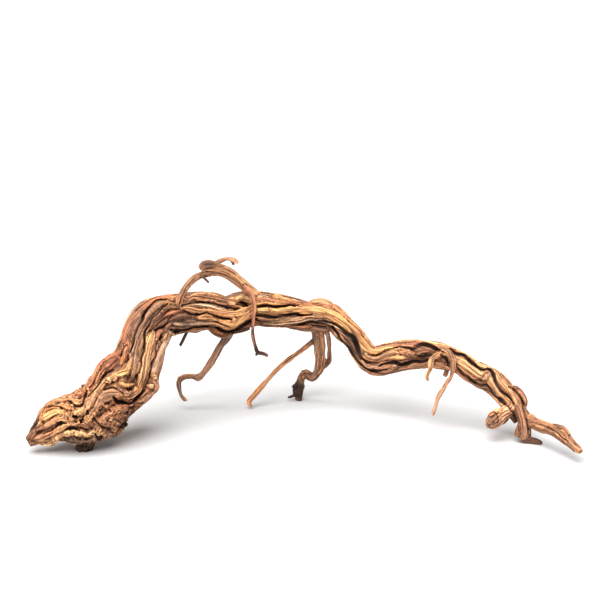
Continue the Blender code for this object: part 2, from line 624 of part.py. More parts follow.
def add_knot(name, centre, size, draw):
    """A flattened lump, turned at random."""
    tip = Matrix.Rotation(draw.uniform(0, math.pi), 4, "X")
    turn = Matrix.Rotation(draw.uniform(0, math.pi), 4, "Z")
    shape = Matrix.Translation(centre * MM) @ tip @ turn @ Matrix.Diagonal((1, KNOT_FLAT, KNOT_FLAT, 1))
    mesh = bmesh.new()
    bmesh.ops.create_icosphere(mesh, subdivisions=2, radius=size * MM, matrix=shape)
    add_piece(name, mesh)


def add_knots():
    """Knots of the near side in their places, and more behind the burl."""
    draw = random.Random(KNOT_SEED)
    for n, (x, rise, size) in enumerate(NEAR_KNOTS):
        row, out, reach = on_near_side(x, rise, size)
        add_knot(f"knot_{n}", TRUNK_AXIS[row] + out * (reach - KNOT_SUNK * size), size, draw)
    burl_rows = int(len(TRUNK_AXIS) * BURL_SHARE)
    for n in range(FAR_KNOTS):
        row = draw.randrange(FAR_KNOT_START, burl_rows)
        size = draw.uniform(*FAR_KNOT_RADIUS)
        out = round_trunk(row, draw.uniform(*FAR_ANGLES))
        centre = TRUNK_AXIS[row] + out * (TRUNK_ROWS[row, 3] - KNOT_SUNK * size)
        add_knot(f"far_knot_{n}", centre, size, draw)


def add_limb(name, route):
    """A round limb: a curve with a bevel, whose radius is set at each point."""
    curve = bpy.data.curves.new(name, "CURVE")
    curve.dimensions = "3D"
    curve.bevel_depth = MM
    curve.bevel_resolution = 2
    curve.use_fill_caps = True
    rows = smooth(route)
    spline = curve.splines.new("POLY")
    spline.points.add(len(rows) - 1)
    for point, (x, rise, depth, radius) in zip(spline.points, rows):
        point.co = (*(seen(x, rise, depth) * MM), 1)
        point.radius = radius
    guide = bpy.data.objects.new(name, curve)
    bpy.context.scene.collection.objects.link(guide)
    graph = bpy.context.evaluated_depsgraph_get()
    solid = bpy.data.meshes.new_from_object(guide.evaluated_get(graph))
    mesh = bmesh.new()
    mesh.from_mesh(solid)
    bpy.data.meshes.remove(solid)
    bpy.data.objects.remove(guide)
    add_piece(name, mesh)


def apply_modifiers(thing):
    """Makes the object's evaluated mesh its own."""
    graph = bpy.context.evaluated_depsgraph_get()
    old = thing.data
    thing.data = bpy.data.meshes.new_from_object(thing.evaluated_get(graph))
    thing.modifiers.clear()
    bpy.data.meshes.remove(old)


def join_pieces(thing):
    """One Boolean union of the object and every other piece, which are then removed."""
    pieces = bpy.data.collections[PIECES]
    union = thing.modifiers.new("union", "BOOLEAN")
    union.operation = "UNION"
    union.operand_type = "COLLECTION"
    union.collection = pieces
    union.solver = "MANIFOLD"
    apply_modifiers(thing)
    for piece in list(pieces.objects):
        bpy.data.objects.remove(piece)
    bpy.data.collections.remove(pieces)


def keep_outside(thing):
    """Drops loose scraps, and fills sealed hollows by dropping their walls."""
    mesh = bmesh.new()
    mesh.from_mesh(thing.data)
    left = set(mesh.verts)
    shells = []
    while left:
        shell = [left.pop()]
        for vert in shell:
            for edge in vert.link_edges:
                other = edge.other_vert(vert)
                if other in left:
                    left.remove(other)
                    shell.append(other)
        shells.append(shell)
    shells.sort(key=len)
    for shell in shells[:-1]:
        bmesh.ops.delete(mesh, geom=shell, context="VERTS")
    mesh.to_mesh(thing.data)
    mesh.free()


def even_out(thing):
    """One even skin over the joined pieces, thinned to the triangles wanted."""
    skin = thing.modifiers.new("skin", "REMESH")
    skin.mode = "VOXEL"
    skin.voxel_size = VOXEL * MM
    apply_modifiers(thing)
    keep_outside(thing)
    thin = thing.modifiers.new("thin", "DECIMATE")
    thin.ratio = TRIANGLES / sum(len(face.vertices) - 2 for face in thing.data.polygons)
    apply_modifiers(thing)


def flatten_feet(thing):
    """Cuts off what would be under the floor, so that each foot ends in a flat."""
    mesh = bmesh.new()
    bmesh.ops.create_cube(mesh, size=1, matrix=Matrix.Translation((0, 0, -0.5)))
    floor = bpy.data.objects.new("floor", bpy.data.meshes.new("floor"))
    mesh.to_mesh(floor.data)
    mesh.free()
    floor.hide_render = True
    floor.display_type = "WIRE"
    bpy.context.scene.collection.objects.link(floor)
    cut = thing.modifiers.new("feet", "BOOLEAN")
    cut.operation = "DIFFERENCE"
    cut.object = floor
    cut.solver = "MANIFOLD"
    apply_modifiers(thing)
    bpy.data.objects.remove(floor)


def wood():
    """Dry red-brown wood."""
    material = bpy.data.materials.new("driftwood")
    material.use_nodes = True
    shader = material.node_tree.nodes["Principled BSDF"]
    shader.inputs["Base Color"].default_value = (0.42, 0.22, 0.11, 1)
    shader.inputs["Roughness"].default_value = 0.75
    shader.inputs["Metallic"].default_value = 0
    return material


def main():
    for old in list(bpy.data.objects):
        bpy.data.objects.remove(old)
    part = bpy.data.collections.new("curly_driftwood")
    pieces = bpy.data.collections.new(PIECES)
    for collection in (part, pieces):
        bpy.context.scene.collection.children.link(collection)

    add_core()
    add_near_strands()
    add_far_strands()
    add_knots()
    for name, route in LIMBS.items():
        add_limb(name, route)

    driftwood = bpy.data.objects["core"]
    pieces.objects.unlink(driftwood)
    part.objects.link(driftwood)
    driftwood.name = NAME
    driftwood.hide_render = False
    driftwood.display_type = "TEXTURED"
    join_pieces(driftwood)
    keep_outside(driftwood)
    even_out(driftwood)
    flatten_feet(driftwood)
    driftwood.data.materials.clear()
    driftwood.data.materials.append(wood())


main()
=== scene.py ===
"""The looks of a curly driftwood: its skin of strands, cracks and grain, its wood and the stage.

Lengths in the routes are in millimetres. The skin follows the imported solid's routes with finer
tubes, and everything on the stage is in metres, in the solid's frame: +X from the burl to the
slim end, +Y back from the viewer, +Z up.
"""

import json
import math
import random

import bmesh
import bpy
import numpy as np
from mathutils import Matrix, Vector, kdtree, noise

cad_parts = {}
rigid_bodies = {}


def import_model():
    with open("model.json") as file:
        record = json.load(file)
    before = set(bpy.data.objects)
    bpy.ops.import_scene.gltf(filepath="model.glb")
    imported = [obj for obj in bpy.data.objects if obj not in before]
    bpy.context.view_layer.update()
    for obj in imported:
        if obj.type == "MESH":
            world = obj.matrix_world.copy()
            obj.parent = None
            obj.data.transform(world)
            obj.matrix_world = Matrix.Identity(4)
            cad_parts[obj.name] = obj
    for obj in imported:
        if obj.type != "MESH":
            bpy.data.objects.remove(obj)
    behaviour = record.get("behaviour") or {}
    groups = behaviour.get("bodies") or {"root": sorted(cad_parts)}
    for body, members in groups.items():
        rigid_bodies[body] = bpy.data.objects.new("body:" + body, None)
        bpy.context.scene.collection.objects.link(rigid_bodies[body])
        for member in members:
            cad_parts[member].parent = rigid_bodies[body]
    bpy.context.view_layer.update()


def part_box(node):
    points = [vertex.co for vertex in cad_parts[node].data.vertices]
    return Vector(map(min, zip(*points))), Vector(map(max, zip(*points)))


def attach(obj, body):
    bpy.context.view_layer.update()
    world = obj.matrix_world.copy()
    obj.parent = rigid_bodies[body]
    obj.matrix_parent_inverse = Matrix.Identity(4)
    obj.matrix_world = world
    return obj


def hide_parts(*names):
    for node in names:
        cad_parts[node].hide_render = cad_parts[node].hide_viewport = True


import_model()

NAME = "driftwood"
PIECES = "pieces"
MM = 0.001
WELD = 1e-6

# The routes give each point as it is seen from the front, from a little above: x, then rise,
# which is the height in a plane square to that view, then depth, which is how far back the
# point lies, and last the radius.
VIEW_TILT = math.radians(18)
VIEW_DISTANCE = 2500
VIEW_CENTRE_X = -5
VIEW_CENTRE_RISE = 187.5
VIEW_LENS = 120
VIEW_SENSOR = 36
UP = Vector((0, math.sin(VIEW_TILT), math.cos(VIEW_TILT)))
AHEAD = Vector((0, math.cos(VIEW_TILT), -math.sin(VIEW_TILT)))
EYE = Vector((VIEW_CENTRE_X, 0, 0)) + UP * VIEW_CENTRE_RISE - AHEAD * VIEW_DISTANCE

# What brings the middle of the footprint to the origin, as in the solid.
CENTRE_X = -2.2
CENTRE_Y = 67.5

# The skin over the joined pieces, and its triangles.
VOXEL = 1.0
TRIANGLES = 194000

# Steps along a route, and the sides of each kind of tube.
ROUTE_STEP = 2.0
STRAND_SIDES = 16
CORE_SIDES = 72
LIMB_SIDES = 14

# Each tube's grain starts this many millimetres on, times the root of how many rings come before.
GRAIN_SHIFT = 1000

# The cracks between the strands reach this far down, or this share of a slim stretch's radius.
CRACK_DEPTH = 12.0
CRACK_SHARE = 0.5

# A strand is an oval that stands on the core. It is a little slimmer than its route says, its
# half height is this share of its half width or more, its root is sunk into the core, some stand
# prouder than others, and both of its ends dive in, down to a tip of this share. Its section is
# squarer than an oval above a power of 2. It wanders in and out, and swells and shrinks.
STRAND_SLIM = 0.92
STRAND_HEIGHT = 0.8
STRAND_ROOT = 3.0
STRAND_PROUD = (-0.8, 1.4)
STRAND_DIVE = 12.0
STRAND_TIP = 0.35
STRAND_SEED = 5
STRAND_POWER = 2.8
STRAND_WANDER = 2.2
STRAND_WANDER_CHANGE = 0.03
STRAND_WANDER_SEED = 0
STRAND_SWELL = 0.3
STRAND_SWELL_CHANGE = 0.06
STRAND_SWELL_SEED = 9

# Limbs swell and shrink too, across and in height, and their bark adds this many millimetres to
# their radius. Some are stouter or slimmer than their routes say.
LIMB_SWELL = 0.26
LIMB_CHANGE = 0.12
LIMB_WIDE_SEED = 0
LIMB_HIGH_SEED = 7
LIMB_BARK = 0.5
LIMB_STOUT = {
    "stub": 1.18, "stub_lobe": 1.1, "leg_outer": 1.1, "loop_over": 1.06,
    "tendril": 1.15, "tendril_fork": 1.15, "foot_front": 1.1, "slim_end_ridge": 1.15,
    "long_root": 0.88, "loop_thorn": 0.7,
}

# The core fills the cracks by this share, more or less, in patches that are long along the grain.
CORE_FILL = 0.3
CORE_FILL_SPREAD = 0.9
CORE_FILL_ALONG = 0.03
CORE_FILL_ACROSS = 0.1

# Relief, in millimetres: lumps, fibres and fine lines along the grain, then the burl's folds,
# crumbs and pits. A line shows where its own noise is this near to zero, and fades where the
# noise that breaks it falls between two values. The folds' noise is bent by some millimetres
# first, its middle is left flat, and small folds are as high as a share of the large ones. Pits
# begin where their noise passes an edge, and are full where it is this much higher.
LUMP = 0.8
FIBRE = 0.4
LINE = 1.7
LINE_SHARE = 0.23
LINE_BREAKS = (-0.25, 0.2)
FOLD = 4.0
FOLD_MIDDLE = 0.32
FOLD_SMALL = 0.4
FOLD_BEND = 5
CRUMB = 1.4
PIT = 2.2
PIT_EDGE = 0.32
PIT_SOFT = 0.25

# The noise behind the relief and the grooves' edges: how fast it changes in a millimetre, along
# the grain and across it or in space, and its seed.
WAVES = {
    "lump": ((0.05, 0.13, 0.13), 3.1),
    "fibre": ((0.035, 0.55, 0.55), 11.7),
    "line": ((0.014, 0.17, 0.17), 23.9),
    "line_break": ((0.02, 0.08, 0.08), 41.3),
    "bend_x": ((0.06, 0.06, 0.06), 1.7),
    "bend_y": ((0.06, 0.06, 0.06), 5.3),
    "bend_z": ((0.06, 0.06, 0.06), 8.9),
    "fold": ((0.085, 0.085, 0.085), 2.3),
    "small_fold": ((0.1955, 0.1955, 0.1955), 6.1),
    "pit": ((0.11, 0.11, 0.11), 13.7),
    "crumb": ((0.3, 0.3, 0.3), 19.1),
    "groove_x": ((0.09, 0.09, 0.09), 31.1),
    "groove_rise": ((0.09, 0.09, 0.09), 37.7),
    "groove_depth": ((0.07, 0.07, 0.07), 43.3),
}

# Where the gnarled burl ends, in metres, and how soft its edge is.
BURL_EDGE_X = -0.19
BURL_EDGE_Z = 0.10
BURL_EDGE = 0.03

# The snout at the burl's left end is smooth from here on, in metres.
SNOUT_EDGE_X = -0.285
SNOUT_EDGE = 0.03

# Where the burl and neck are slimmer than the strands make them, or fuller where the last number
# is below zero: x, rise, radius and depth, in millimetres.
SHAVED = [(-207, 38, 26, 9), (-222, 22, 20, 4), (-277, 84, 14, 3), (-185, 78, 11, -3),
    (-300, 6, 22, 1.5), (-262, 6, 20, 1.5), (-342, 34, 20, 5), (-229, 122, 14, 2)]

# Smooth spots among the burl's folds: x, rise and radius, in millimetres, and the shares of the
# radius between which they fade.
SMOOTH_SPOTS = [(-242, 68, 15), (-262, 60, 9), (-284, 62, 8), (-215, 100, 6)]
SMOOTH_FADE = (0.4, 1.2)

# Strands of the far side lie in lanes round the trunk, from its underside over the back to its
# top. Each lane is filled with one strand after another, which sway and end in the next lane.
# Stretches, starts, ends and laps are in millimetres along the trunk, sways in degrees.
FAR_LANES = 13
FAR_ANGLES = (-12, 192)
FAR_STRETCH = (80, 200)
FAR_HALF_WIDTH = (3.2, 5.8)
FAR_SWELL = 0.2
FAR_SWELL_TURN = 12
FAR_FULL_RADIUS = 25
FAR_START = (4, 40)
FAR_LAP = (8, 28)
FAR_LAST_START = 48
FAR_LAST_END = 8
FAR_SWAY = 6
FAR_SWAY_TURN = 7
FAR_DRIFT = 14
FAR_SEED = 7
FAR_TINTS = ("tan", "tan", "gold", "red", "grey", "brown")

# Knots on the far side of the burl, then how deep every knot is sunk, and how flat it is.
FAR_KNOTS = 34
FAR_KNOT_START = 56
FAR_KNOT_RADIUS = (3.0, 6.0)
BURL_SHARE = 0.2
KNOT_SUNK = 0.45
KNOT_FLAT = 0.7
KNOT_ROUNDNESS = 3
KNOT_SEED = 21

# A groove's floor is this share of its width, and it fades where the skin turns from the viewer.
# Its edges wander by this many millimetres, and its depth changes by this share.
GROOVE_FLOOR = 0.2
GROOVE_FACING = 0.35
GROOVE_JITTER = 1.7
GROOVE_CHANGE = 0.5

# Grooves cut the limbs too from here on, in metres.
FOOT_X = 0.225

# How many rounds of evening out blur the tints and find the creases, and how many more find the
# broad hollows. This share of the creases' own blur, after so many rounds, is taken off them.
TINT_ROUNDS = 3
CREASE_ROUNDS = 6
HOLLOW_ROUNDS = 40
EVEN_CREASE = 0.85
EVEN_ROUNDS = 14

# The stage: the floor's half width in metres, how pale it is, the light from all around, and the
# lamp: which way it lies, its power and how many degrees it spans.
FLOOR_REACH = 6
FLOOR_PALE = 0.61
FLOOR_ROUGHNESS = 0.9
SURROUND_LIGHT = 0.5
KEY_PLACE = (-0.2, -0.35, 1.0)
KEY_POWER = 5.3
KEY_SPAN = 60

# The wood's tints, as they look on screen.
TINTS = {
    "pale": (0.89, 0.70, 0.54),
    "gold": (0.87, 0.64, 0.44),
    "tan": (0.83, 0.595, 0.43),
    "red": (0.75, 0.49, 0.355),
    "brown": (0.60, 0.415, 0.30),
    "grey": (0.61, 0.475, 0.385),
    "dark": (0.30, 0.21, 0.16),
    "soot": (0.15, 0.115, 0.095),
}

# Each strand and limb is this much lighter or darker, and redder or yellower, than its tint.
TINT_LIGHT = (0.84, 1.14)
TINT_WARM = 0.03

# Which strands and limbs aren't tan. under_edge and under_low, along the trunk's underside, are
# darker as painted shade.
TINTED = {
    "pale": "neck_back_edge under_line back_pale back_thin back_lower mid_line",
    "gold": (
        "burl_sole burl_pad burl_fold burl_lip burl_hook burl_wave neck_bright mid_swell elbow"
        " back_broad back_second right_middle dip_upper crest_bridge burl_lid"
    ),
    "red": (
        "burl_brow burl_rim burl_belly neck_edge neck_inner crook_red tendril tendril_fork"
        " back_upper shoulder"
    ),
    "brown": (
        "crook_low crook_thin snout_tip burl_heel back_edge slope_edge slope_inner right_edge"
        " under_bow rear_root leg_middle leg_outer foot_left foot_rear web stub_spur burl_face"
        " under_edge slim_end_low heel"
    ),
    "grey": "neck_outer neck_middle left_root leg",
    "dark": "nub under_low short_twig foot_toe leg_knot_low leg_thorn leg_toe loop_spur loop_thorn",
}
TINT_OF = {name: tint for tint, names in TINTED.items() for name in names.split()}

# The wood's noise along the grain: how fast it changes along it and across it, its detail and its
# roughness. The patches' noise lies in space.
WOOD_NOISE = {
    "broad": (0.012, 0.16, 3, 0.5),
    "streaks": (0.02, 0.5, 5, 0.6),
    "fibres": (0.05, 1.6, 4, 0.6),
    "lines": (0.012, 0.8, 2, 0.5),
}
PATCHES_SCALE = 28
PATCHES_DETAIL = 3
PATCHES_ROUGHNESS = 0.55

# Shades laid on the tint, one on the other: what guides the shade, the values where it begins and
# where it is full, its share there, and its colour as linear light, which is multiplied in, or as
# it looks on screen, which covers.
SHADES = [
    ("broad", 0.42, 0.7, 0.5, "MULTIPLY", (0.80, 0.67, 0.66)),
    ("patches", 0.52, 0.72, 0.7, "MULTIPLY", (1.15, 1.18, 1.05)),
    ("patches", 0.48, 0.26, 0.5, "MULTIPLY", (0.58, 0.68, 0.82)),
    ("streaks", 0.48, 0.7, 0.85, "MIX", (0.32, 0.185, 0.12)),
    ("fibres", 0.48, 0.32, 0.6, "MULTIPLY", (1.5, 1.43, 1.35)),
    ("lines", 0.54, 0.64, 0.8, "MIX", (0.20, 0.11, 0.08)),
    # Painted highlight: this row lightens the convex ridges, where the crease is below zero.
    ("crease", -0.05, -0.5, 1.0, "MULTIPLY", (1.75, 1.66, 1.55)),
]

# Painted shade, with some darker wood in the cracks: where creases, hollows and grooves darken the
# wood, the values where that begins and where it is full, and its share there. The darkest of the
# three counts.
PAINTED_SHADE_AND_STAIN = {"crease": (0.1, 0.8, 0.8), "hollow": (0.5, 2.8, 1.0), "groove": (0.6, 4.0, 1.0)}
PAINTED_SHADE_AND_STAIN_SHARE = 0.93
PAINTED_SHADE_AND_STAIN_COLOUR = (0.14, 0.075, 0.055)

# The wood's roughness from its dullest to its smoothest fibres, its shine, and its fine bumps.
ROUGH_FIBRES = (0.3, 0.7, 0.6, 0.85)
SHINE = 0.35
BUMP_STRENGTH = 0.8
BUMP_DISTANCE = 0.0015
BUMP_FIBRES = 0.5
BUMP_LINES = (0.54, 0.68)

# Grooves and pits of the near side: depth, then x, rise and half width along each.
GROOVES = {
    "snout_brow": (3.0, [(-328, 47, 1.2), (-322, 53.5, 1.8), (-311, 54.5, 2), (-302, 52.5, 2),
        (-297, 50, 1.2)]),
    "snout_lens": (2.0, [(-324.5, 33.5, 1), (-318, 39.5, 1.8), (-311, 43, 1.8), (-305, 44.5, 1)]),
    "snout_long": (3.4, [(-327, 20, 1), (-315, 25.5, 2), (-308.5, 31, 2.2), (-303, 34.5, 2.4),
        (-298, 33, 1.4)]),
    "snout_low": (3.4, [(-306, 20, 1), (-302, 23.5, 2), (-296.5, 27.5, 2.4), (-288.5, 27.5, 2.6),
        (-281, 24, 1.6)]),
    "pad_vee": (4.2, [(-292, 60, 1.6), (-285, 55, 2.2), (-279.5, 55.5, 2.4), (-276.5, 61.5, 2.4),
        (-275, 68, 2.8), (-272, 74, 2)]),
    "rim_line": (3.4, [(-269, 79, 1.6), (-263, 87, 2), (-259, 95, 1.8), (-253, 103, 1.2)]),
    "rim_inner": (3.6, [(-270, 67, 1.4), (-262, 76, 2), (-256.5, 84, 2.4), (-250, 93.5, 2.6),
        (-244, 98, 2)]),
    "cleft": (7.0, [(-239, 66, 2.4), (-233, 60.5, 4), (-222, 58.5, 3.4), (-214, 61.5, 3.2),
        (-207, 68, 3), (-199.5, 75, 1.8)]),
    "face_top": (3.8, [(-252, 75.5, 1.4), (-242, 77, 2.4), (-233, 75, 2.4), (-226, 69.5, 1.8)]),
    "pit_face": (5.0, [(-249, 57.5, 3.4), (-246, 58.5, 3)]),
    "pit_low": (4.0, [(-256, 49.5, 2.6), (-254, 51, 2.2)]),
    "pit_lower": (3.6, [(-244.5, 50.5, 2.2), (-242, 48, 1.8)]),
    "pit_ringed": (4.4, [(-221, 75, 3), (-219, 74, 2.6)]),
    "pit_hook": (3.6, [(-244, 98, 2.6), (-240, 101, 2.2)]),
    "pit_fold": (3.2, [(-290, 45, 1.6), (-286, 42, 2.4)]),
    "nub_top": (4.2, [(-262, 20, 2), (-259, 15, 3.4), (-254, 17, 2.4)]),
    "heel_pit": (4.0, [(-221, 47, 2), (-216, 47, 2.8)]),
    "belly_crack": (3.4, [(-263, 40, 1.4), (-257, 32, 2.2), (-247, 27, 2), (-240, 22, 1.4)]),
    "belly_fold": (3.0, [(-244, 40, 1.2), (-235, 38, 2), (-228, 33, 1.8)]),
    "neck_left": (3.6, [(-229, 118, 1.4), (-226, 127, 2.2), (-221, 132, 1.4)]),
    "neck_outer_crack": (4.4, [(-218, 122, 1.6), (-215, 131, 2.2), (-210, 150, 2.4), (-202.5, 165, 2.4),
        (-196, 177, 2.4), (-186, 186, 2), (-172, 189.5, 1.4)]),
    "neck_inner_crack": (4.8, [(-206, 96, 1.4), (-204, 112, 2), (-200, 130, 2.4), (-200, 145, 2.6),
        (-196, 155, 2.2), (-189, 165, 2), (-181, 175, 1.8), (-171, 183.5, 1.4)]),
    "neck_right_crack": (4.0, [(-194, 90, 1.4), (-192, 104, 2), (-187, 120, 2.2), (-184, 134, 2.2),
        (-179, 142, 2)]),
    "crook_first": (3.6, [(-192, 155, 1.2), (-184.5, 160.5, 1.8), (-176, 168, 1.9),
        (-167.5, 177.5, 1.2)]),
    "crook_second": (3.8, [(-187, 150, 1.4), (-178, 155, 2), (-171, 161, 2.2), (-166, 169, 1.4)]),
    "crook_pocket": (5.0, [(-167, 150, 3), (-160, 148, 3.4), (-155, 150, 2)]),
    "mid_top_line": (3.8, [(-154, 181, 1.4), (-141, 183, 1.8), (-128, 185.8, 2.2), (-114, 183, 2.4),
        (-102, 180, 2.4), (-90, 178, 2.4), (-82, 177.5, 1.4)]),
    "mid_line_crack": (4.2, [(-150, 175.5, 1.4), (-142, 171, 2), (-132, 169.8, 2.4), (-122, 172.5, 2),
        (-114, 169, 2.4), (-100, 165.5, 2.2), (-90, 164, 1.2)]),
    "elbow_line": (3.4, [(-116, 161.5, 1.2), (-108, 161, 1.8), (-100, 157, 1.8), (-93, 153.5, 1.2)]),
    "undercut": (5.5, [(-166, 151, 2.2), (-150, 150.5, 2.4), (-136, 154, 2.2), (-124, 155.5, 2.2),
        (-114, 155.5, 2.6), (-105, 150, 3), (-96, 147.5, 3), (-87, 150, 3.4), (-76, 157, 3.6),
        (-67, 162.5, 3), (-60, 164, 2)]),
    "elbow_eye": (5.0, [(-84, 182.5, 2.4), (-78, 183, 4.4), (-72, 181, 3)]),
    "back_line": (4.2, [(-62, 168.5, 2.2), (-52, 168, 2.9), (-44, 166.5, 2.9), (-35, 167.5, 3.2),
        (-25, 169.5, 2.9), (-10, 171.5, 2.9), (-5, 169.5, 2.7), (10, 171, 1.7)]),
    "back_eye": (4.2, [(-60, 180.5, 2.4), (-44, 181, 3.2), (-36, 179.5, 2.9), (-20, 181.5, 2.7),
        (-7, 182, 1.7)]),
    "back_wedge": (4.0, [(-8, 157, 1.7), (8, 160.5, 2.9), (25, 161, 3.2), (35, 158.5, 2)]),
    "slope_dark": (5.0, [(24, 161.5, 1.7), (39, 157, 2.9), (53.5, 147, 4.1), (65, 136.5, 4.9),
        (69, 123, 3.9), (75, 114, 2.9), (83, 111, 2.4), (91, 110, 1.5)]),
    "slope_low": (4.0, [(36, 155.5, 1.5), (46, 139, 2.7), (58, 126.5, 2.9), (65, 114.5, 2.7),
        (76, 103, 2.4), (90, 99.5, 2.7), (104, 101, 1.7)]),
    "dip_upper_line": (3.4, [(80, 120, 1.5), (90, 118, 2.2), (102, 124.5, 2.2), (112, 127.5, 2.2),
        (121, 128.5, 1.5)]),
    "dip_line": (5.0, [(94, 106, 2), (112, 110.5, 3.2), (122.5, 108, 3.4), (137, 110.8, 3.4),
        (150, 112, 3.2), (165, 114, 2)]),
    "dip_hollow": (4.6, [(121, 128.5, 2.2), (137, 128.5, 3.7), (148, 131.5, 4.1), (162, 128.5, 3.7),
        (169, 124.5, 2)]),
    "dip_hollow_low": (3.8, [(140, 119, 2), (154, 118, 3.2), (166, 117, 2.2)]),
    "root_pocket": (4.6, [(171, 118, 2.6), (178, 115.5, 3.2), (181.5, 106, 2.4)]),
    "right_long": (4.6, [(183, 127, 2), (190, 122, 2.9), (203, 117, 2.9), (210, 110, 3.2),
        (217, 104, 2.9), (222, 100.5, 2.9), (230, 101, 2.4), (235, 99, 2.9), (238, 92, 3.2),
        (241, 84, 3.2), (245, 78, 2.9), (250, 71, 2.9), (257, 67, 2.7), (263, 58.5, 2)]),
    "right_second": (4.0, [(190, 104, 2), (203, 94, 2.9), (210, 87, 2.9), (217, 82.5, 2.9),
        (222, 81, 2.7), (228, 82, 2.4), (232, 78, 2.7), (238, 70, 2.7), (243, 65, 2)]),
    "right_third": (4.0, [(256, 79, 1.7), (265, 74.5, 2.4), (270, 69, 2.7), (274, 62, 2.7),
        (279.5, 53, 1.7)]),
    "foot_left": (3.0, [(256, 56, 1.2), (262, 46, 1.7), (267, 34, 1.7), (269, 23, 1.2)]),
    "foot_right": (3.0, [(272, 62, 1.2), (276.5, 46, 1.7), (280, 32, 1.7), (281, 20, 1.2)]),
    "end_line": (2.6, [(283, 35, 1), (296, 32, 1.5), (308, 27.5, 1.6), (320, 20, 1.5), (330, 10, 1.2)]),
    "end_upper": (2.2, [(300, 38, 1), (312, 33, 1.4), (322, 26, 1.2)]),
    "stub_ring": (2.6, [(233, 45, 1.2), (239, 47, 1.7), (243.5, 42, 1.7), (243, 34, 1.2)]),
    "right_pocket": (4.4, [(244, 65, 2.9), (248, 61, 4.9), (252, 58, 2.9)]),
}

# Patches where the near side's wood has another tint: x, rise, half width, half height, tint and
# share. The dark ones in the crook below the neck, under the trunk's middle and in its grooves, dip
# and cavity are painted shade. They fade between these shares of their size, and where the skin turns
# from the viewer.
PATCH_FADE = (0.4, 1.2)
PATCH_FACING = 0.3
PATCHES = [(-174, 161, 16, 14, "dark", 0.2), (-150, 158, 16, 9, "dark", 0.25),
    (-274, -1, 18, 10, "soot", 0.7), (-348, 14, 18, 17, "dark", 0.55), (-214, 150, 8, 22, "grey", 0.6),
    (-206, 172, 12, 10, "grey", 0.6), (-216, 122, 7, 20, "grey", 0.45), (-165, 186, 10, 8, "gold", 0.7),
    (-43, 176, 12, 5, "gold", 0.7), (-95, 161, 22, 9, "gold", 0.5), (-195, 118, 8, 26, "gold", 0.5),
    (60, 135, 13, 20, "dark", 0.6), (-30, 166, 34, 5, "dark", 0.3), (20, 160, 22, 6, "dark", 0.55),
    (150, 118, 26, 8, "dark", 0.45), (293, 10, 14, 6, "dark", 0.8), (273, 14, 9, 9, "brown", 0.5),
    (-56, 124, 14, 14, "soot", 0.85), (-153, 135, 8, 10, "dark", 0.8), (-7, 72, 14, 15, "soot", 0.6),
    (2, 94, 14, 9, "dark", 0.3), (310, 45, 60, 45, "brown", 0.65), (-121, 231, 12, 8, "soot", 0.8),
    (-110, 222, 40, 26, "grey", 0.25), (8, 136, 10, 8, "soot", 0.6), (236, 36, 13, 12, "dark", 0.55),
    (260, 38, 10, 10, "dark", 0.6), (-235, 50, 22, 12, "red", 0.4), (-340, 25, 12, 22, "brown", 0.5),
    (-318, 20, 22, 8, "red", 0.4), (-75, 148, 22, 6, "dark", 0.6), (-222, 141, 8, 26, "red", 0.5),
    (345, 0, 8, 8, "red", 0.6), (100, 112, 24, 6, "brown", 0.5), (-150, 88, 12, 8, "brown", 0.4),
    (-265, 50, 60, 45, "gold", 0.35), (-122, 98, 42, 40, "tan", 0.5), (20, 125, 18, 30, "tan", 0.4),
    (210, 88, 20, 6, "brown", 0.4), (-43, 121, 6, 5, "dark", 0.5), (-99, 60, 8, 8, "brown", 0.4)]

# The trunk: x, rise, depth and the radius out to the tops of its strands.
TRUNK = [(-346, 11, -12, 7), (-335, 22, -8, 14), (-318, 33, -3, 24), (-295, 39, 2, 31),
    (-270, 45, 8, 36), (-245, 62, 25, 38), (-224, 85, 42, 37), (-211, 107, 53, 33), (-203, 127, 61, 30),
    (-200, 145, 68, 28), (-190, 162, 77, 28), (-170, 168, 91, 27), (-145, 172, 110, 25),
    (-120, 174, 124, 25), (-100, 169, 133, 24), (-80, 174, 140, 24), (-60, 177, 147, 23),
    (-30, 175, 153, 21), (0, 168, 156, 19), (20, 168, 155, 20), (36, 164, 152, 18), (50, 153, 148, 15),
    (62, 141, 144, 14.5), (72, 126, 141, 15.5), (82, 115, 137, 17.5), (96, 112, 131, 19),
    (120, 117, 119, 19), (145, 119, 107, 18), (165, 119, 97, 17), (182, 115, 89, 15),
    (197, 108, 82, 14), (212, 98, 75, 15), (228, 91, 67, 16), (242, 81, 59, 16), (254, 68, 51, 15),
    (264, 55, 43, 13), (271, 43, 36, 9)]

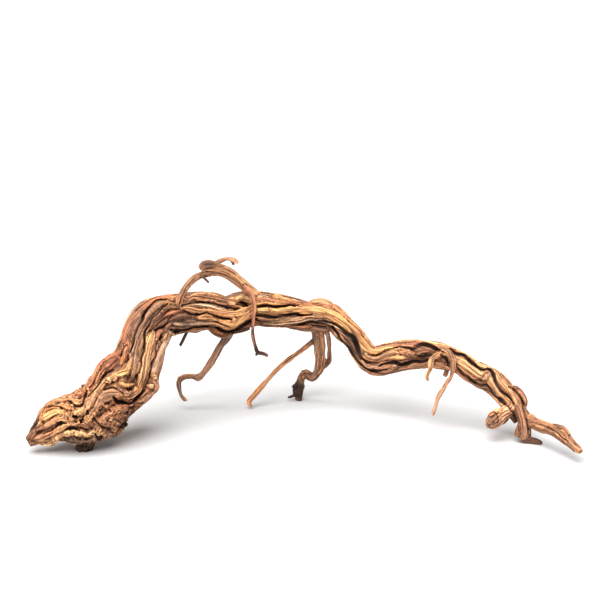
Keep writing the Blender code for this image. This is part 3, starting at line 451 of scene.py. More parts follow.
# Strands on the near side of the trunk: x, rise and half width. They lie on its surface.
NEAR_STRANDS = {
    "burl_edge": [(-346, 13, 4), (-339, 25, 5), (-332, 38, 5), (-326, 50, 5), (-315, 59, 6),
        (-300, 65, 6), (-287, 70, 5)],
    "burl_brow": [(-327, 50, 4), (-316, 56, 4.5), (-304, 57, 4.5), (-294, 54, 4), (-286, 49, 3)],
    "burl_lid": [(-333, 36, 3), (-322, 44, 4.5), (-310, 49, 5), (-299, 45, 4.5), (-289, 43, 4)],
    "burl_cheek": [(-335, 25, 3.5), (-325, 30, 4.5), (-313, 36, 5), (-302, 40, 4.5), (-292, 36, 4),
        (-283, 38, 4)],
    "burl_jaw": [(-340, 12, 4.5), (-327, 15, 5), (-313, 21, 5), (-301, 29, 4), (-290, 30, 3.5),
        (-280, 31, 4)],
    "burl_sole": [(-330, 8, 4), (-313, 12, 5), (-298, 19, 5), (-285, 20, 4), (-271, 16, 4),
        (-259, 19, 5), (-248, 17, 4)],
    "burl_pad": [(-296, 60, 4), (-288, 62, 6), (-281, 62, 5.5), (-276, 66, 3.5)],
    "burl_rim": [(-281, 71, 3), (-273, 80, 4.5), (-264, 92, 5.5), (-256, 103, 6), (-245, 114, 6),
        (-235, 123, 5)],
    "burl_fold": [(-292, 48, 3.5), (-281, 47, 4.5), (-271, 57, 5.5), (-264, 69, 6), (-257, 80, 5.5),
        (-250, 90, 4.5)],
    "burl_ridge": [(-280, 27, 3.5), (-272, 34, 4.5), (-267, 44, 5), (-260, 54, 5.5)],
    "burl_face": [(-264, 42, 5), (-257, 58, 7), (-248, 69, 8), (-236, 71, 7.5), (-225, 70, 5.5),
        (-214, 70, 4)],
    "burl_belly": [(-262, 24, 4.5), (-252, 33, 5), (-243, 44, 4.5), (-231, 48, 4.5), (-218, 51, 5),
        (-207, 57, 5)],
    "burl_heel": [(-252, 14, 4), (-242, 20, 5), (-234, 31, 5), (-226, 42, 5)],
    "burl_lip": [(-233, 66, 3), (-224, 65, 4), (-214, 66, 4.5), (-206, 73, 4.5), (-202, 82, 4.5)],
    "burl_lobe": [(-205, 54, 4.5), (-197, 63, 5), (-190, 73, 5), (-186, 85, 5), (-185, 94, 4)],
    "burl_hook": [(-217, 118, 3.5), (-218, 108, 4), (-222, 99, 4), (-231, 96, 4.5), (-241, 92, 4),
        (-249, 85, 3.5)],
    "burl_wave": [(-241, 78, 3), (-232, 83, 4), (-223, 80, 4), (-213, 80, 4)],
    "neck_edge": [(-233, 108, 4), (-228, 120, 5), (-226, 135, 6), (-222, 151, 7), (-213, 167, 7),
        (-200, 181, 6), (-185, 190, 4.5), (-168, 193, 4), (-155, 191, 3.5)],
    "neck_outer": [(-219, 112, 3.5), (-217, 126, 4), (-211, 142, 4.5), (-204, 157, 5), (-195, 171, 4.5),
        (-182, 183, 4), (-166, 187, 4)],
    "neck_middle": [(-213, 92, 5), (-211, 106, 5.5), (-209, 121, 5), (-205, 134, 4), (-199, 148, 3.5),
        (-189, 162, 3.5), (-177, 176, 3.5), (-165, 181, 3.5)],
    "neck_bright": [(-201, 82, 5), (-201, 95, 5.5), (-199, 110, 6.5), (-195, 125, 6.5), (-191, 138, 6),
        (-186, 147, 4)],
    "neck_inner": [(-193, 86, 3), (-192, 98, 3.5), (-188, 112, 4), (-184, 127, 4.5), (-181, 141, 4),
        (-173, 152, 3.5), (-165, 162, 3.5)],
    "neck_back_edge": [(-186, 88, 5), (-184, 102, 5), (-179, 117, 5), (-174, 132, 5), (-170, 144, 4.5),
        (-162, 150, 4)],
    "crook_red": [(-199, 148, 2.6), (-189, 156, 3), (-179, 166, 3), (-168, 171, 3), (-158, 174, 2.6)],
    "crook_thin": [(-203, 140, 2.4), (-194, 156, 2.6), (-184, 168, 2.8), (-172, 178, 2.6),
        (-160, 180, 2.4)],
    "crook_low": [(-189, 149, 3), (-178, 157, 3.5), (-168, 163, 4), (-155, 167, 4), (-143, 166, 4),
        (-133, 164, 3)],
    "mid_top": [(-147, 196, 2.4), (-134, 198, 2.4), (-120, 198, 2.6), (-108, 195, 2.4), (-98, 191, 2.4),
        (-90, 192, 3), (-81, 196, 3.2)],
    "mid_upper": [(-150, 188, 3), (-140, 192, 4), (-127, 191, 4.5), (-113, 190, 4.8), (-100, 187, 5),
        (-90, 184, 4.5), (-80, 184, 3.5)],
    "mid_swell": [(-92, 189, 3), (-84, 193, 4), (-75, 194, 4.5), (-68, 191, 4), (-62, 186, 3)],
    "mid_line": [(-152, 184, 2.6), (-140, 184, 3), (-128, 182.5, 3), (-116, 181, 3), (-105, 178, 3),
        (-94, 176, 3.5)],
    "mid_belt": [(-157, 179, 2.6), (-145, 177, 2.8), (-132, 174.5, 3), (-120, 174, 3.2),
        (-109, 172.5, 3.5), (-98, 171, 4.5), (-87, 170, 5.5), (-76, 173, 5.5), (-66, 178, 5)],
    "elbow": [(-140, 166, 3), (-128, 166, 4.2), (-115, 165.5, 4.2), (-104, 161, 4.5), (-94, 157, 6),
        (-85, 158, 6.5), (-77, 164, 6), (-69, 171, 5), (-61, 176, 4)],
    "elbow_low": [(-127, 159, 2.6), (-114, 159, 3), (-105, 156, 3.5), (-97, 152, 4), (-89, 152, 4),
        (-81, 156, 3.5), (-73, 162, 3)],
    "under_line": [(-168, 157, 2.4), (-150, 157, 2.4), (-135, 158, 2.2), (-120, 157.5, 2.2),
        (-108, 154, 2.4)],
    "under_edge": [(-166, 150, 3), (-150, 151, 3), (-135, 152.5, 2.6), (-120, 151, 3), (-108, 147, 3.2),
        (-97, 145, 3), (-87, 148, 2.4)],
    "under_low": [(-168, 143, 3.5), (-154, 147, 3), (-140, 148, 2.6), (-126, 147, 2.6)],
    "back_top": [(-72, 199, 2.6), (-58, 199, 2.4), (-43, 197.5, 2.4), (-32, 194.5, 2.6),
        (-22, 190.5, 2.4), (-11, 187.5, 2.4), (2, 185, 2)],
    "back_pale": [(-66, 194, 2.4), (-50, 193, 2.5), (-36, 190.5, 2.2), (-26, 188, 2)],
    "back_upper": [(-64, 189, 2.4), (-46, 188.5, 2.4), (-31, 186.5, 2.4), (-18, 186, 2.4),
        (-5, 183.5, 2.6), (8, 183, 2.6), (21, 181, 2.8), (33, 178, 3), (42, 172, 3)],
    "back_second": [(-64, 183.5, 2.2), (-48, 183.5, 2.4), (-36, 183, 2.4), (-24, 183.5, 2),
        (-12, 184, 1.8)],
    "back_broad": [(-64, 174.5, 3.5), (-50, 174.5, 4.5), (-38, 174.5, 4.5), (-25, 175.5, 4.5),
        (-12, 177, 4.5), (0, 177, 5.5), (12, 176, 6), (24, 174, 7), (36, 170, 7), (48, 162, 7),
        (60, 151, 6.5), (69, 140, 6.5), (77, 131, 5.5), (86, 125.5, 5), (95, 126, 4.5), (105, 129, 4.5),
        (117, 130.5, 4)],
    "back_thin": [(-64, 164.5, 1.8), (-51, 163, 2), (-40, 161.5, 2), (-28, 162, 2), (-15, 163, 2),
        (-3, 165, 2), (8, 167, 2.2), (20, 166.5, 2.4), (30, 165, 2.4)],
    "back_lower": [(-50, 158, 2), (-38, 157, 2), (-28, 158, 2), (-15, 159, 2.2), (-2, 161, 2.2),
        (10, 162.5, 2.2), (22, 161, 2.4), (33, 158.5, 2.6), (43, 154, 2.8), (52, 148, 2.6),
        (61, 140, 2.4), (68, 131, 2.2), (73, 122, 2)],
    "back_edge": [(-67, 157, 2.6), (-52, 155.5, 2.6), (-38, 154.5, 2.4), (-25, 154, 2.2),
        (-12, 153.5, 2.4), (0, 153, 3), (12, 153, 3)],
    "crest": [(2, 187, 2), (14, 189, 2.6), (24, 189.5, 2.8), (34, 185, 2.8), (43, 178, 2.6),
        (53, 168.5, 2.4), (63, 159, 2.4), (72, 150.5, 2.2), (79, 142, 2)],
    "slope_edge": [(24, 153, 2), (33, 147.5, 2.4), (42, 140, 2.6), (50, 134, 2.8), (57, 125, 3),
        (62, 116, 3), (68, 108.5, 2.8), (75, 102, 2.6), (82, 96.5, 2.8), (91, 94.5, 3), (102, 94.5, 3),
        (112, 97, 3.2), (124, 100, 3.5), (138, 103, 4), (152, 105, 4), (164, 107, 3)],
    "slope_inner": [(36, 152, 2), (46, 146, 2.2), (55, 138, 2.2), (62, 128, 2.2), (68, 119, 2.2),
        (73, 112, 2.2)],
    "dip_upper": [(72, 124, 2), (80, 117.5, 2.4), (87, 115.5, 2.6), (95, 117, 2.8), (103, 120.5, 3),
        (113, 123, 3), (122, 122, 3)],
    "dip_middle": [(71, 118, 1.8), (77, 112.5, 1.8), (84, 110.5, 2), (94, 112, 2), (104, 115, 2.2),
        (114, 116, 2.4), (124, 115.5, 3), (134, 116.5, 3)],
    "dip_lower": [(71, 110, 2), (78, 104.5, 2.3), (88, 102.5, 2.4), (98, 103, 2.4), (108, 103.5, 2.2),
        (117, 106, 2), (127, 108.5, 1.8)],
    "right_top": [(90, 131, 2.2), (103, 133, 2.8), (117, 136, 3), (131, 137, 3), (150, 136.5, 3),
        (166, 134, 3.4), (181, 130, 3.8), (195, 124, 3.5), (208, 116.5, 3.5), (220, 108, 4),
        (232, 103, 4.5), (242, 97, 5.5), (249, 88, 5.5), (256, 79, 5), (262, 71, 4.2), (268, 61, 4),
        (273, 52, 4)],
    "knot_arm": [(117, 130, 3.5), (124, 132, 3), (134, 132, 2.4), (143, 133, 2)],
    "knot_wave": [(122, 125, 3.5), (131, 122, 3.5), (141, 119, 2.6), (149, 122.5, 2), (158, 124, 2),
        (166, 125, 2.2), (172, 129, 2.2)],
    "right_middle": [(163, 119, 2.8), (174, 120, 3.2), (184, 119, 3.8), (193, 113.5, 4.8),
        (202, 108, 5), (211, 101, 5.5), (220, 94, 5.8), (229, 91, 6), (236, 83, 5.5), (242, 75, 5),
        (249, 66, 4.8), (256, 59, 5), (261, 52, 5)],
    "right_low": [(190, 105, 2.4), (199, 99, 2.6), (208, 91.5, 2.6), (218, 87, 2.4)],
    "right_edge": [(178, 103.5, 2.4), (192, 100.5, 2.4), (203, 91, 2.6), (213, 82.5, 3),
        (223, 77.5, 3.2), (231, 75.5, 3), (239, 67.5, 2.6), (246, 60, 2.6), (251, 53, 3)],
    "shoulder": [(252, 83, 2.6), (261, 80, 3), (270, 74, 3.2), (276, 65, 3.2), (279.5, 54, 3)],
}

# Knots on the near side: x, rise and radius.
NEAR_KNOTS = [(-302, 70, 4.5), (-246, 88, 5), (-237, 89, 4), (-211, 87, 5.5), (-222, 89, 4),
    (-214, 77, 4), (-258, 97, 3.5), (-246, 103, 4.5), (-237, 107, 4.5), (-191, 79, 4.5), (-186, 91, 5),
    (-253, 44, 4), (-241, 37, 4.5), (-231, 51, 4), (-273, 40, 4), (-247, 55, 3.5), (-255, 24, 4.5),
    (-245, 15, 4.5), (-236, 26, 4.5), (-283, 36, 4), (-250, 35, 4), (-263, 31, 4), (-227, 58, 3.5),
    (-182, 137, 5), (170, 121, 4.5), (260, 53, 5.5), (228, 92, 6), (-43, 176, 4), (-88, 163, 6),
    (130, 120, 4)]

# Limbs that stand clear of the trunk: x, rise, depth and radius.
LIMBS = {
    "nub": [(-269, 26, 8, 15), (-273, 13, 5, 13), (-275, 5, 3.5, 12), (-275, -0.5, 3, 10.5)],
    "heel": [(-237, 38, 28, 18), (-241, 25, 31, 11), (-243, 19, 32, 6)],
    "snout_tip": [(-330, 20, -5, 10), (-341, 13, -10, 8), (-346, 10, -12, 6)],
    "loop_under": [(-158, 176, 90, 3), (-156, 188, 88, 3.6), (-151, 199, 91, 4), (-143, 210, 95, 4.4),
        (-133, 217.5, 100, 4.4), (-122, 221, 105, 4), (-110, 221.5, 111, 3), (-98, 218, 117, 2.7),
        (-87, 211, 124, 2.8), (-77, 203, 131, 3), (-68, 195, 138, 3.5), (-62, 188, 141, 3.5)],
    "loop_over": [(-129, 226, 101, 3.5), (-125, 230, 101, 5.8), (-118, 231, 103, 6.2),
        (-109, 229, 107, 5), (-99, 226, 113, 4.4), (-89, 220.5, 120, 4.4), (-79, 212, 128, 4.6),
        (-70, 204.5, 135, 4.6), (-60, 196, 142, 4.4), (-52, 190, 145, 3.5)],
    "loop_twig": [(-116, 231, 104, 3), (-107, 236, 100, 2.6), (-98, 239.5, 94, 2.4),
        (-91, 239, 89, 2.5), (-86, 237, 85, 2.8), (-83, 234, 82, 1.6)],
    "loop_spur": [(-91, 238, 89, 2), (-88, 231.5, 88, 1.4)],
    "loop_thorn": [(-130, 219, 99, 2), (-124.5, 215, 97, 1.8), (-119, 210, 95, 1.2)],
    "crest_strand": [(-112, 197, 118, 2), (-121, 201, 116, 2.2), (-132, 200.5, 110, 2.2),
        (-145, 197, 103, 2.4), (-152, 191, 98, 2.4)],
    "crest_bridge": [(-122, 201, 116, 2), (-113, 199.5, 119, 2), (-104, 195, 123, 2),
        (-96, 191, 127, 2)],
    "tendril": [(-80, 209, 128, 2), (-70, 201, 123, 2.2), (-64.5, 193, 119, 2), (-62.5, 184, 118, 2),
        (-62, 175, 118, 2), (-63, 166, 119, 2), (-64, 157, 120, 2), (-65, 148, 122, 1.9),
        (-63.5, 140, 124, 1.8), (-61, 131, 125, 1.8), (-58, 123, 126, 1.9), (-51, 121, 124, 1.6),
        (-45, 118, 122, 1.2)],
    "tendril_fork": [(-58, 124, 126, 1.6), (-60.5, 118.5, 126, 1.2)],
    "left_root": [(-90, 158, 138, 6), (-94, 146, 140, 5.5), (-100, 136.5, 143, 4.8),
        (-106.5, 128, 145, 4.3), (-111.5, 118, 147, 4.3), (-118, 107, 148, 4.1), (-124.5, 98.5, 149, 4),
        (-132, 91.5, 149, 4.2), (-139, 93, 148, 3.2), (-146, 93, 147, 3.1), (-152.5, 91, 146, 3.1),
        (-157, 86, 145, 3.2), (-156.5, 79, 144, 3), (-154.5, 71, 143, 2.5), (-151.5, 65.5, 143, 2.2),
        (-149, 62.5, 143, 1.7)],
    "root_knee": [(-134, 93, 149, 4), (-130.5, 88, 149, 3)],
    "root_corner": [(-149, 92.5, 146, 3), (-158, 89.5, 145, 2.6)],
    "root_hook": [(-151, 65, 143, 2), (-146.5, 62.5, 143, 1.4)],
    "right_root": [(18, 144, 167, 3), (9, 135, 164, 3), (-2, 126.5, 160, 2.7), (-13, 118.5, 156, 2.7),
        (-24, 110, 154, 2.9), (-34, 100.5, 152, 2.9), (-43, 91, 150, 2.9), (-51, 82, 148, 2.9),
        (-57, 75, 147, 3), (-63, 68, 146, 3.1), (-69, 61.5, 145, 3.1), (-68.5, 58.5, 144, 2.6),
        (-65.5, 56, 143, 1.7)],
    "leg": [(12, 160, 156, 6), (15, 146, 161, 5.4), (17, 132, 166, 5), (18.5, 118, 170, 5),
        (18.5, 106, 173, 5.2), (16, 97, 175, 5.4), (10, 91, 176, 5.4), (3, 95.5, 177, 5.8),
        (-2, 92, 178, 5), (-4.5, 84, 178, 5.2), (-6, 76, 178, 5.8), (-6.5, 69, 178, 5.2),
        (-6, 61.5, 178, 4.4)],
    "leg_knot": [(5, 96, 177, 6.6), (-2, 94.5, 177, 6.6)],
    "leg_knot_low": [(-4, 83, 178, 7), (-7, 77, 178, 7.6), (-7, 70, 178, 6)],
    "leg_middle": [(21, 160, 154, 4.4), (22, 146, 160, 3.6), (23, 132, 164, 3.3), (23, 118, 168, 3.4),
        (22, 106, 171, 4.2), (18, 97, 173, 4.4)],
    "leg_outer": [(27, 156, 153, 2.8), (30.5, 143, 157, 2.4), (31.8, 131, 162, 2.2),
        (31.8, 120, 166, 2.4), (31, 111.5, 170, 2.8), (25, 105, 172, 3)],
    "leg_thorn": [(-5, 81, 176, 4), (-11, 80.5, 174, 2.6), (-15, 80.5, 172, 1.4)],
    "leg_toe": [(-6, 71, 176, 2.6), (-13, 68.5, 174, 1.7), (-20, 66, 172, 1.3)],
    "under_bow": [(-118, 152, 122, 2.2), (-110, 146, 120, 2.3), (-102, 143, 121, 2.4),
        (-95, 144.5, 124, 2.2), (-88, 147.5, 128, 2.2), (-78, 149.5, 131, 2.1), (-68, 153, 134, 2.4)],
    "short_twig": [(-140, 158, 118, 2), (-147, 147, 120, 1.8), (-151.5, 138, 121, 1.6),
        (-155.5, 130.5, 122, 1.4)],
    "small_root": [(172, 121, 84, 3.2), (165, 118, 78, 2.9), (159.5, 113.5, 75, 2.8),
        (158.5, 107, 73, 2.8), (158.5, 102, 73, 2.5), (155.5, 97, 72, 2.5), (154, 92, 72, 2),
        (155, 86.5, 72, 1.5)],
    "rear_root": [(177, 114, 88, 2.8), (179.5, 106, 88, 2.3), (179, 99, 88, 2.3), (176.5, 93, 88, 2.2)],
    "long_root": [(174, 128, 80, 3), (181, 123.5, 75, 3.4), (186, 116, 72, 3.4),
        (187.5, 107.5, 70, 3.2), (186, 99, 70, 3.1), (182.5, 90.5, 70, 2.9), (177.5, 82, 70, 2.9),
        (172.5, 74, 70, 2.8), (168, 65, 70, 2.4), (165.5, 56, 70, 2.3), (163, 48.5, 69, 2.4),
        (161, 44, 69, 2.3)],
    "stub": [(263, 56, 44, 6), (256, 49.5, 39, 6.5), (248, 44, 34, 7), (240, 38, 30, 7.8),
        (234.5, 33.5, 27, 7.2), (231.5, 31, 26, 5), (230, 29.5, 25, 3)],
    "stub_lobe": [(246, 47, 34, 4), (239, 46, 31, 4.5), (233.5, 41, 28, 4.5)],
    "stub_spur": [(256, 45, 38, 4), (252, 38, 36, 3.2), (248, 33.5, 35, 2.6)],
    "web": [(258, 52, 42, 6), (262, 43, 41, 4.6), (266, 35, 40, 3)],
    "foot_front": [(266, 62, 42, 5), (271, 50, 36, 5), (274.5, 40, 30, 5.2), (276, 30, 27, 5.6),
        (276, 21, 25, 6), (275, 14, 24, 5)],
    "foot_left": [(264, 54, 40, 3), (269.5, 42, 33, 3), (270.5, 32, 28, 3), (269, 24, 27, 4),
        (269, 17.5, 26, 4.2)],
    "foot_rear": [(274, 52, 38, 4), (279, 41, 35, 3.6), (281.5, 31, 32, 3), (281.5, 21, 29, 3.4),
        (279.5, 15, 27, 4)],
    "foot_toe": [(274, 14, 26, 5), (280, 13, 25, 4.8), (286, 11.3, 23.5, 4.6), (292, 9.8, 21.5, 4.2),
        (296, 8.8, 20, 3.4), (298, 8, 19, 2.4)],
    "slim_end": [(271, 50, 38, 6), (280, 40, 32, 6.5), (290, 32.5, 22, 6.5), (300, 29.5, 12, 6.2),
        (310, 27, 2, 6), (319, 23.5, -8, 6.4), (327, 17.5, -18, 6.2), (334, 10, -28, 5.2),
        (340, 4, -37, 4.8), (345, 0, -44, 4.2), (347, -2, -47, 3)],
    "slim_end_ridge": [(282, 43, 28, 3), (293, 36, 18, 3), (304, 32, 6, 3), (315, 28.5, -5, 3.4),
        (325, 25, -15, 3.4), (332, 17.5, -24, 3)],
    "slim_end_low": [(284, 31, 24, 3), (296, 25, 12, 3), (308, 22, 0, 3), (319, 17, -12, 3),
        (330, 8.5, -26, 3), (341, -1, -40, 2.6)],
}


def seen(x, rise, depth):
    """The point at this depth on the line of sight through x and rise."""
    on_plane = Vector((x, 0, 0)) + UP * rise
    share = float(depth - EYE.y) / (on_plane.y - EYE.y)
    return EYE + share * (on_plane - EYE)


def smooth(route):
    """Rows at even steps along a Catmull-Rom curve through a route's rows."""
    rows = np.array(route, float)
    rows = np.vstack([2 * rows[0] - rows[1], rows, 2 * rows[-1] - rows[-2]])
    made = []
    for a, b, c, d in zip(rows, rows[1:], rows[2:], rows[3:]):
        count = max(1, round(float(np.linalg.norm((c - b)[:2])) / ROUTE_STEP))
        for t in np.arange(count) / count:
            bend = (2 * a - 5 * b + 4 * c - d) * t**2 + (3 * b - a - 3 * c + d) * t**3
            made.append(b + 0.5 * ((c - a) * t + bend))
    made.append(rows[-2])
    return np.array(made)


TRUNK_ROWS = smooth(TRUNK)
TRUNK_AXIS = [seen(x, rise, depth) for x, rise, depth, _ in TRUNK_ROWS]


def directions(points):
    """The way along a line of points, at each of them."""
    ahead = points[1:] + points[-1:]
    behind = points[:1] + points[:-1]
    return [(a - b).normalized() for a, b in zip(ahead, behind)]


TRUNK_WAYS = directions(TRUNK_AXIS)


def to_frame(point):
    """A route's point in the frame, in metres."""
    return (point - Vector((CENTRE_X, CENTRE_Y, 0))) * MM


class Grain:
    """Which way the grain runs: the rings of every tube, and the points on them."""

    points = []
    ring_of = []
    centres = []
    axes = []
    tints = []
    first_of_limbs = 0

    @classmethod
    def add_ring(cls, centre, axes, length, tint):
        """A ring's centre, its three axes and its length along the tube."""
        cls.centres.append((*centre, length))
        cls.axes.append(axes)
        cls.tints.append(tint)

    @classmethod
    def add_point(cls, point):
        cls.points.append(point)
        cls.ring_of.append(len(cls.centres) - 1)


def tint_colour(tint, draw):
    """A tint's colour, a little lighter or darker and redder or yellower each time."""
    light = draw.uniform(*TINT_LIGHT)
    warm = draw.uniform(-TINT_WARM, TINT_WARM)
    red, green, blue = TINTS[tint]
    return (red * light + warm, green * light, blue * light - warm)


def add_piece(name, mesh):
    """Puts a closed mesh among the pieces that are joined later."""
    bmesh.ops.remove_doubles(mesh, verts=mesh.verts, dist=WELD)
    bmesh.ops.recalc_face_normals(mesh, faces=mesh.faces)
    shape = bpy.data.meshes.new(name)
    mesh.to_mesh(shape)
    mesh.free()
    piece = bpy.data.objects.new(name, shape)
    bpy.data.collections[PIECES].objects.link(piece)


def squared(value, power):
    """A sine or cosine for a section that is squarer than an oval."""
    return math.copysign(abs(value) ** (2 / power), value)


def add_tube(name, centres, outs, widths, heights, sides, colour, power=2.0, relief=None):
    """A closed tube of oval sections: half widths across it, half heights along the outs.

    Its relief gives a share of the radius at a place along it, and at a way out of it.
    """
    mesh = bmesh.new()
    rings = []
    length = GRAIN_SHIFT * len(Grain.centres) ** 0.5
    last = centres[0]
    for centre, along, out, wide, high in zip(centres, directions(centres), outs, widths, heights):
        length += (centre - last).length
        last = centre
        across = along.cross(out).normalized()
        lift = across.cross(along).normalized()
        Grain.add_ring(to_frame(centre), (along, across, lift), length, colour)
        ring = []
        for side in range(sides):
            angle = 2 * math.pi * side / sides
            sideways = across * wide * squared(math.cos(angle), power)
            point = sideways + lift * high * squared(math.sin(angle), power)
            if relief:
                point *= relief(length, point)
            point += centre
            ring.append(mesh.verts.new(to_frame(point)))
            Grain.add_point(to_frame(point))
        rings.append(ring)
    for near, far in zip(rings, rings[1:]):
        for side in range(sides):
            mesh.faces.new((near[side - 1], near[side], far[side], far[side - 1]))
    mesh.faces.new(rings[0])
    mesh.faces.new(reversed(rings[-1]))
    add_piece(name, mesh)


def crack_depth(radius):
    """How deep the cracks are in a stretch of this radius."""
    return min(CRACK_DEPTH, CRACK_SHARE * radius)


def core_relief(length, point):
    """How far the core fills the cracks over it, as a share of its radius: it comes and goes."""
    radius = point.length
    crack = min(CRACK_DEPTH, radius * CRACK_SHARE / (1 - CRACK_SHARE))
    place = (length * CORE_FILL_ALONG, point.y * CORE_FILL_ACROSS, point.z * CORE_FILL_ACROSS)
    filled = min(max(CORE_FILL + CORE_FILL_SPREAD * noise.noise(place), 0), 1)
    return 1 + filled * crack / radius


def add_core():
    """The trunk under its strands."""
    radii = [radius - crack_depth(radius) for radius in TRUNK_ROWS[:, 3]]
    outs = [AHEAD] * len(radii)
    colour = TINTS["brown"]
    add_tube("core", TRUNK_AXIS, outs, radii, radii, CORE_SIDES, colour, relief=core_relief)


def add_strand(name, places, proud, colour):
    """A strand along the trunk. Each place is a trunk row's number, the way out and a half width."""
    centres, outs, widths, heights = [], [], [], []
    number = len(Grain.centres)
    for i, (row, out, reach, half) in enumerate(places):
        to_end = ROUTE_STEP * min(i, len(places) - 1 - i) / STRAND_DIVE
        grown = STRAND_TIP + (1 - STRAND_TIP) * math.sin(math.pi / 2 * min(1, to_end))
        radius = TRUNK_ROWS[row, 3]
        along = i * ROUTE_STEP
        wander = noise.noise((along * STRAND_WANDER_CHANGE, number, STRAND_WANDER_SEED))
        swell = noise.noise((along * STRAND_SWELL_CHANGE, number, STRAND_SWELL_SEED))
        high = max(STRAND_HEIGHT * half, 0.5 * (crack_depth(radius) + STRAND_ROOT))
        rise = proud + STRAND_WANDER * wander
        sunk = high + (1 - grown) * crack_depth(radius) - rise
        centres.append(TRUNK_AXIS[row] + out * (reach - sunk))
        outs.append(out)
        widths.append(half * STRAND_SLIM * grown * (1 + STRAND_SWELL * swell))
        heights.append(high)
    add_tube(name, centres, outs, widths, heights, STRAND_SIDES, colour, power=STRAND_POWER)


def on_near_side(x, rise, half):
    """The trunk row beside x and rise, the way out to the near surface there, and how far it is.

    What lies along the trunk's outline as seen reaches half its width past its route.
    """
    flat = TRUNK_ROWS[:, :2] - (x, rise)
    row = int(np.argmin((flat**2).sum(1)))
    radius = TRUNK_ROWS[row, 3]
    offset = float(np.hypot(*flat[row]))
    bulge = math.sqrt(max(radius**2 - offset**2, 0))
    depth = TRUNK_ROWS[row, 2] - bulge * math.cos(VIEW_TILT)
    depth += (rise - TRUNK_ROWS[row, 1]) * math.sin(VIEW_TILT)
    way = seen(x, rise, depth) - TRUNK_AXIS[row]
    return row, way.normalized(), max(radius, offset + half)


def add_near_strands():
    """Strands along the side that is seen."""
    draw = random.Random(STRAND_SEED)
    tints = random.Random(STRAND_SEED)
    for name, route in NEAR_STRANDS.items():
        places = [(*on_near_side(x, rise, half), half) for x, rise, half in smooth(route)]
        colour = tint_colour(TINT_OF.get(name, "tan"), tints)
        add_strand(name, places, draw.uniform(*STRAND_PROUD), colour)


def round_trunk(row, angle):
    """The way out of the trunk at this angle: 0 is its underside and 90 the side away from view."""
    along = TRUNK_WAYS[row]
    rear = (AHEAD - along * AHEAD.dot(along)).normalized()
    under = rear.cross(along)
    return under * math.cos(math.radians(angle)) + rear * math.sin(math.radians(angle))


def add_far_strands():
    """Strands along the side that isn't seen."""
    draw = random.Random(FAR_SEED)
    first, last = FAR_ANGLES
    rows = len(TRUNK_AXIS)
    for lane in range(FAR_LANES):
        middle = first + (last - first) * lane / (FAR_LANES - 1)
        start = round(draw.randrange(*FAR_START) / ROUTE_STEP)
        while start < rows - FAR_LAST_START / ROUTE_STEP:
            stretch = round(draw.randrange(*FAR_STRETCH) / ROUTE_STEP)
            end = min(start + stretch, rows - round(FAR_LAST_END / ROUTE_STEP))
            half = draw.uniform(*FAR_HALF_WIDTH)
            phase = draw.uniform(0, 2 * math.pi)
            drifts = [draw.uniform(-FAR_DRIFT, FAR_DRIFT) for _ in range(2)]
            places = []
            for row in range(start, end):
                share = (row - start) / (end - start)
                drift = drifts[0] * (1 - share) ** 3 + drifts[1] * share**3
                sway = FAR_SWAY * math.sin(FAR_SWAY_TURN * share + phase)
                radius = TRUNK_ROWS[row, 3]
                swell = 1 + FAR_SWELL * math.sin(FAR_SWELL_TURN * share + 2 * phase)
                wide = half * swell * (0.5 + 0.5 * radius / FAR_FULL_RADIUS)
                places.append((row, round_trunk(row, middle + drift + sway), radius, wide))
            proud = draw.uniform(*STRAND_PROUD)
            colour = tint_colour(draw.choice(FAR_TINTS), draw)
            add_strand(f"far_{lane}_{start}", places, proud, colour)
            start = end - round(draw.randrange(*FAR_LAP) / ROUTE_STEP)


def add_knot(name, centre, size, draw):
    """A flattened lump, turned at random."""
    tip = Matrix.Rotation(draw.uniform(0, math.pi), 4, "X")
    turn = Matrix.Rotation(draw.uniform(0, math.pi), 4, "Z")
    flat = Matrix.Diagonal((1, KNOT_FLAT, KNOT_FLAT, 1))
    shape = Matrix.Translation(to_frame(centre)) @ tip @ turn @ flat
    mesh = bmesh.new()
    bmesh.ops.create_icosphere(mesh, subdivisions=KNOT_ROUNDNESS, radius=size * MM, matrix=shape)
    axes = (tip @ turn).to_3x3()
    Grain.add_ring(to_frame(centre), tuple(axes.col), 0, tint_colour("tan", draw))
    for vert in mesh.verts:
        Grain.add_point(vert.co.copy())
    add_piece(name, mesh)


def add_knots():
    """Knots of the near side in their places, and more behind the burl."""
    draw = random.Random(KNOT_SEED)
    for n, (x, rise, size) in enumerate(NEAR_KNOTS):
        row, out, reach = on_near_side(x, rise, size)
        add_knot(f"knot_{n}", TRUNK_AXIS[row] + out * (reach - KNOT_SUNK * size), size, draw)
    burl_rows = int(len(TRUNK_AXIS) * BURL_SHARE)
    for n in range(FAR_KNOTS):
        row = draw.randrange(round(FAR_KNOT_START / ROUTE_STEP), burl_rows)
        size = draw.uniform(*FAR_KNOT_RADIUS)
        out = round_trunk(row, draw.uniform(*FAR_ANGLES))
        centre = TRUNK_AXIS[row] + out * (TRUNK_ROWS[row, 3] - KNOT_SUNK * size)
        add_knot(f"far_knot_{n}", centre, size, draw)


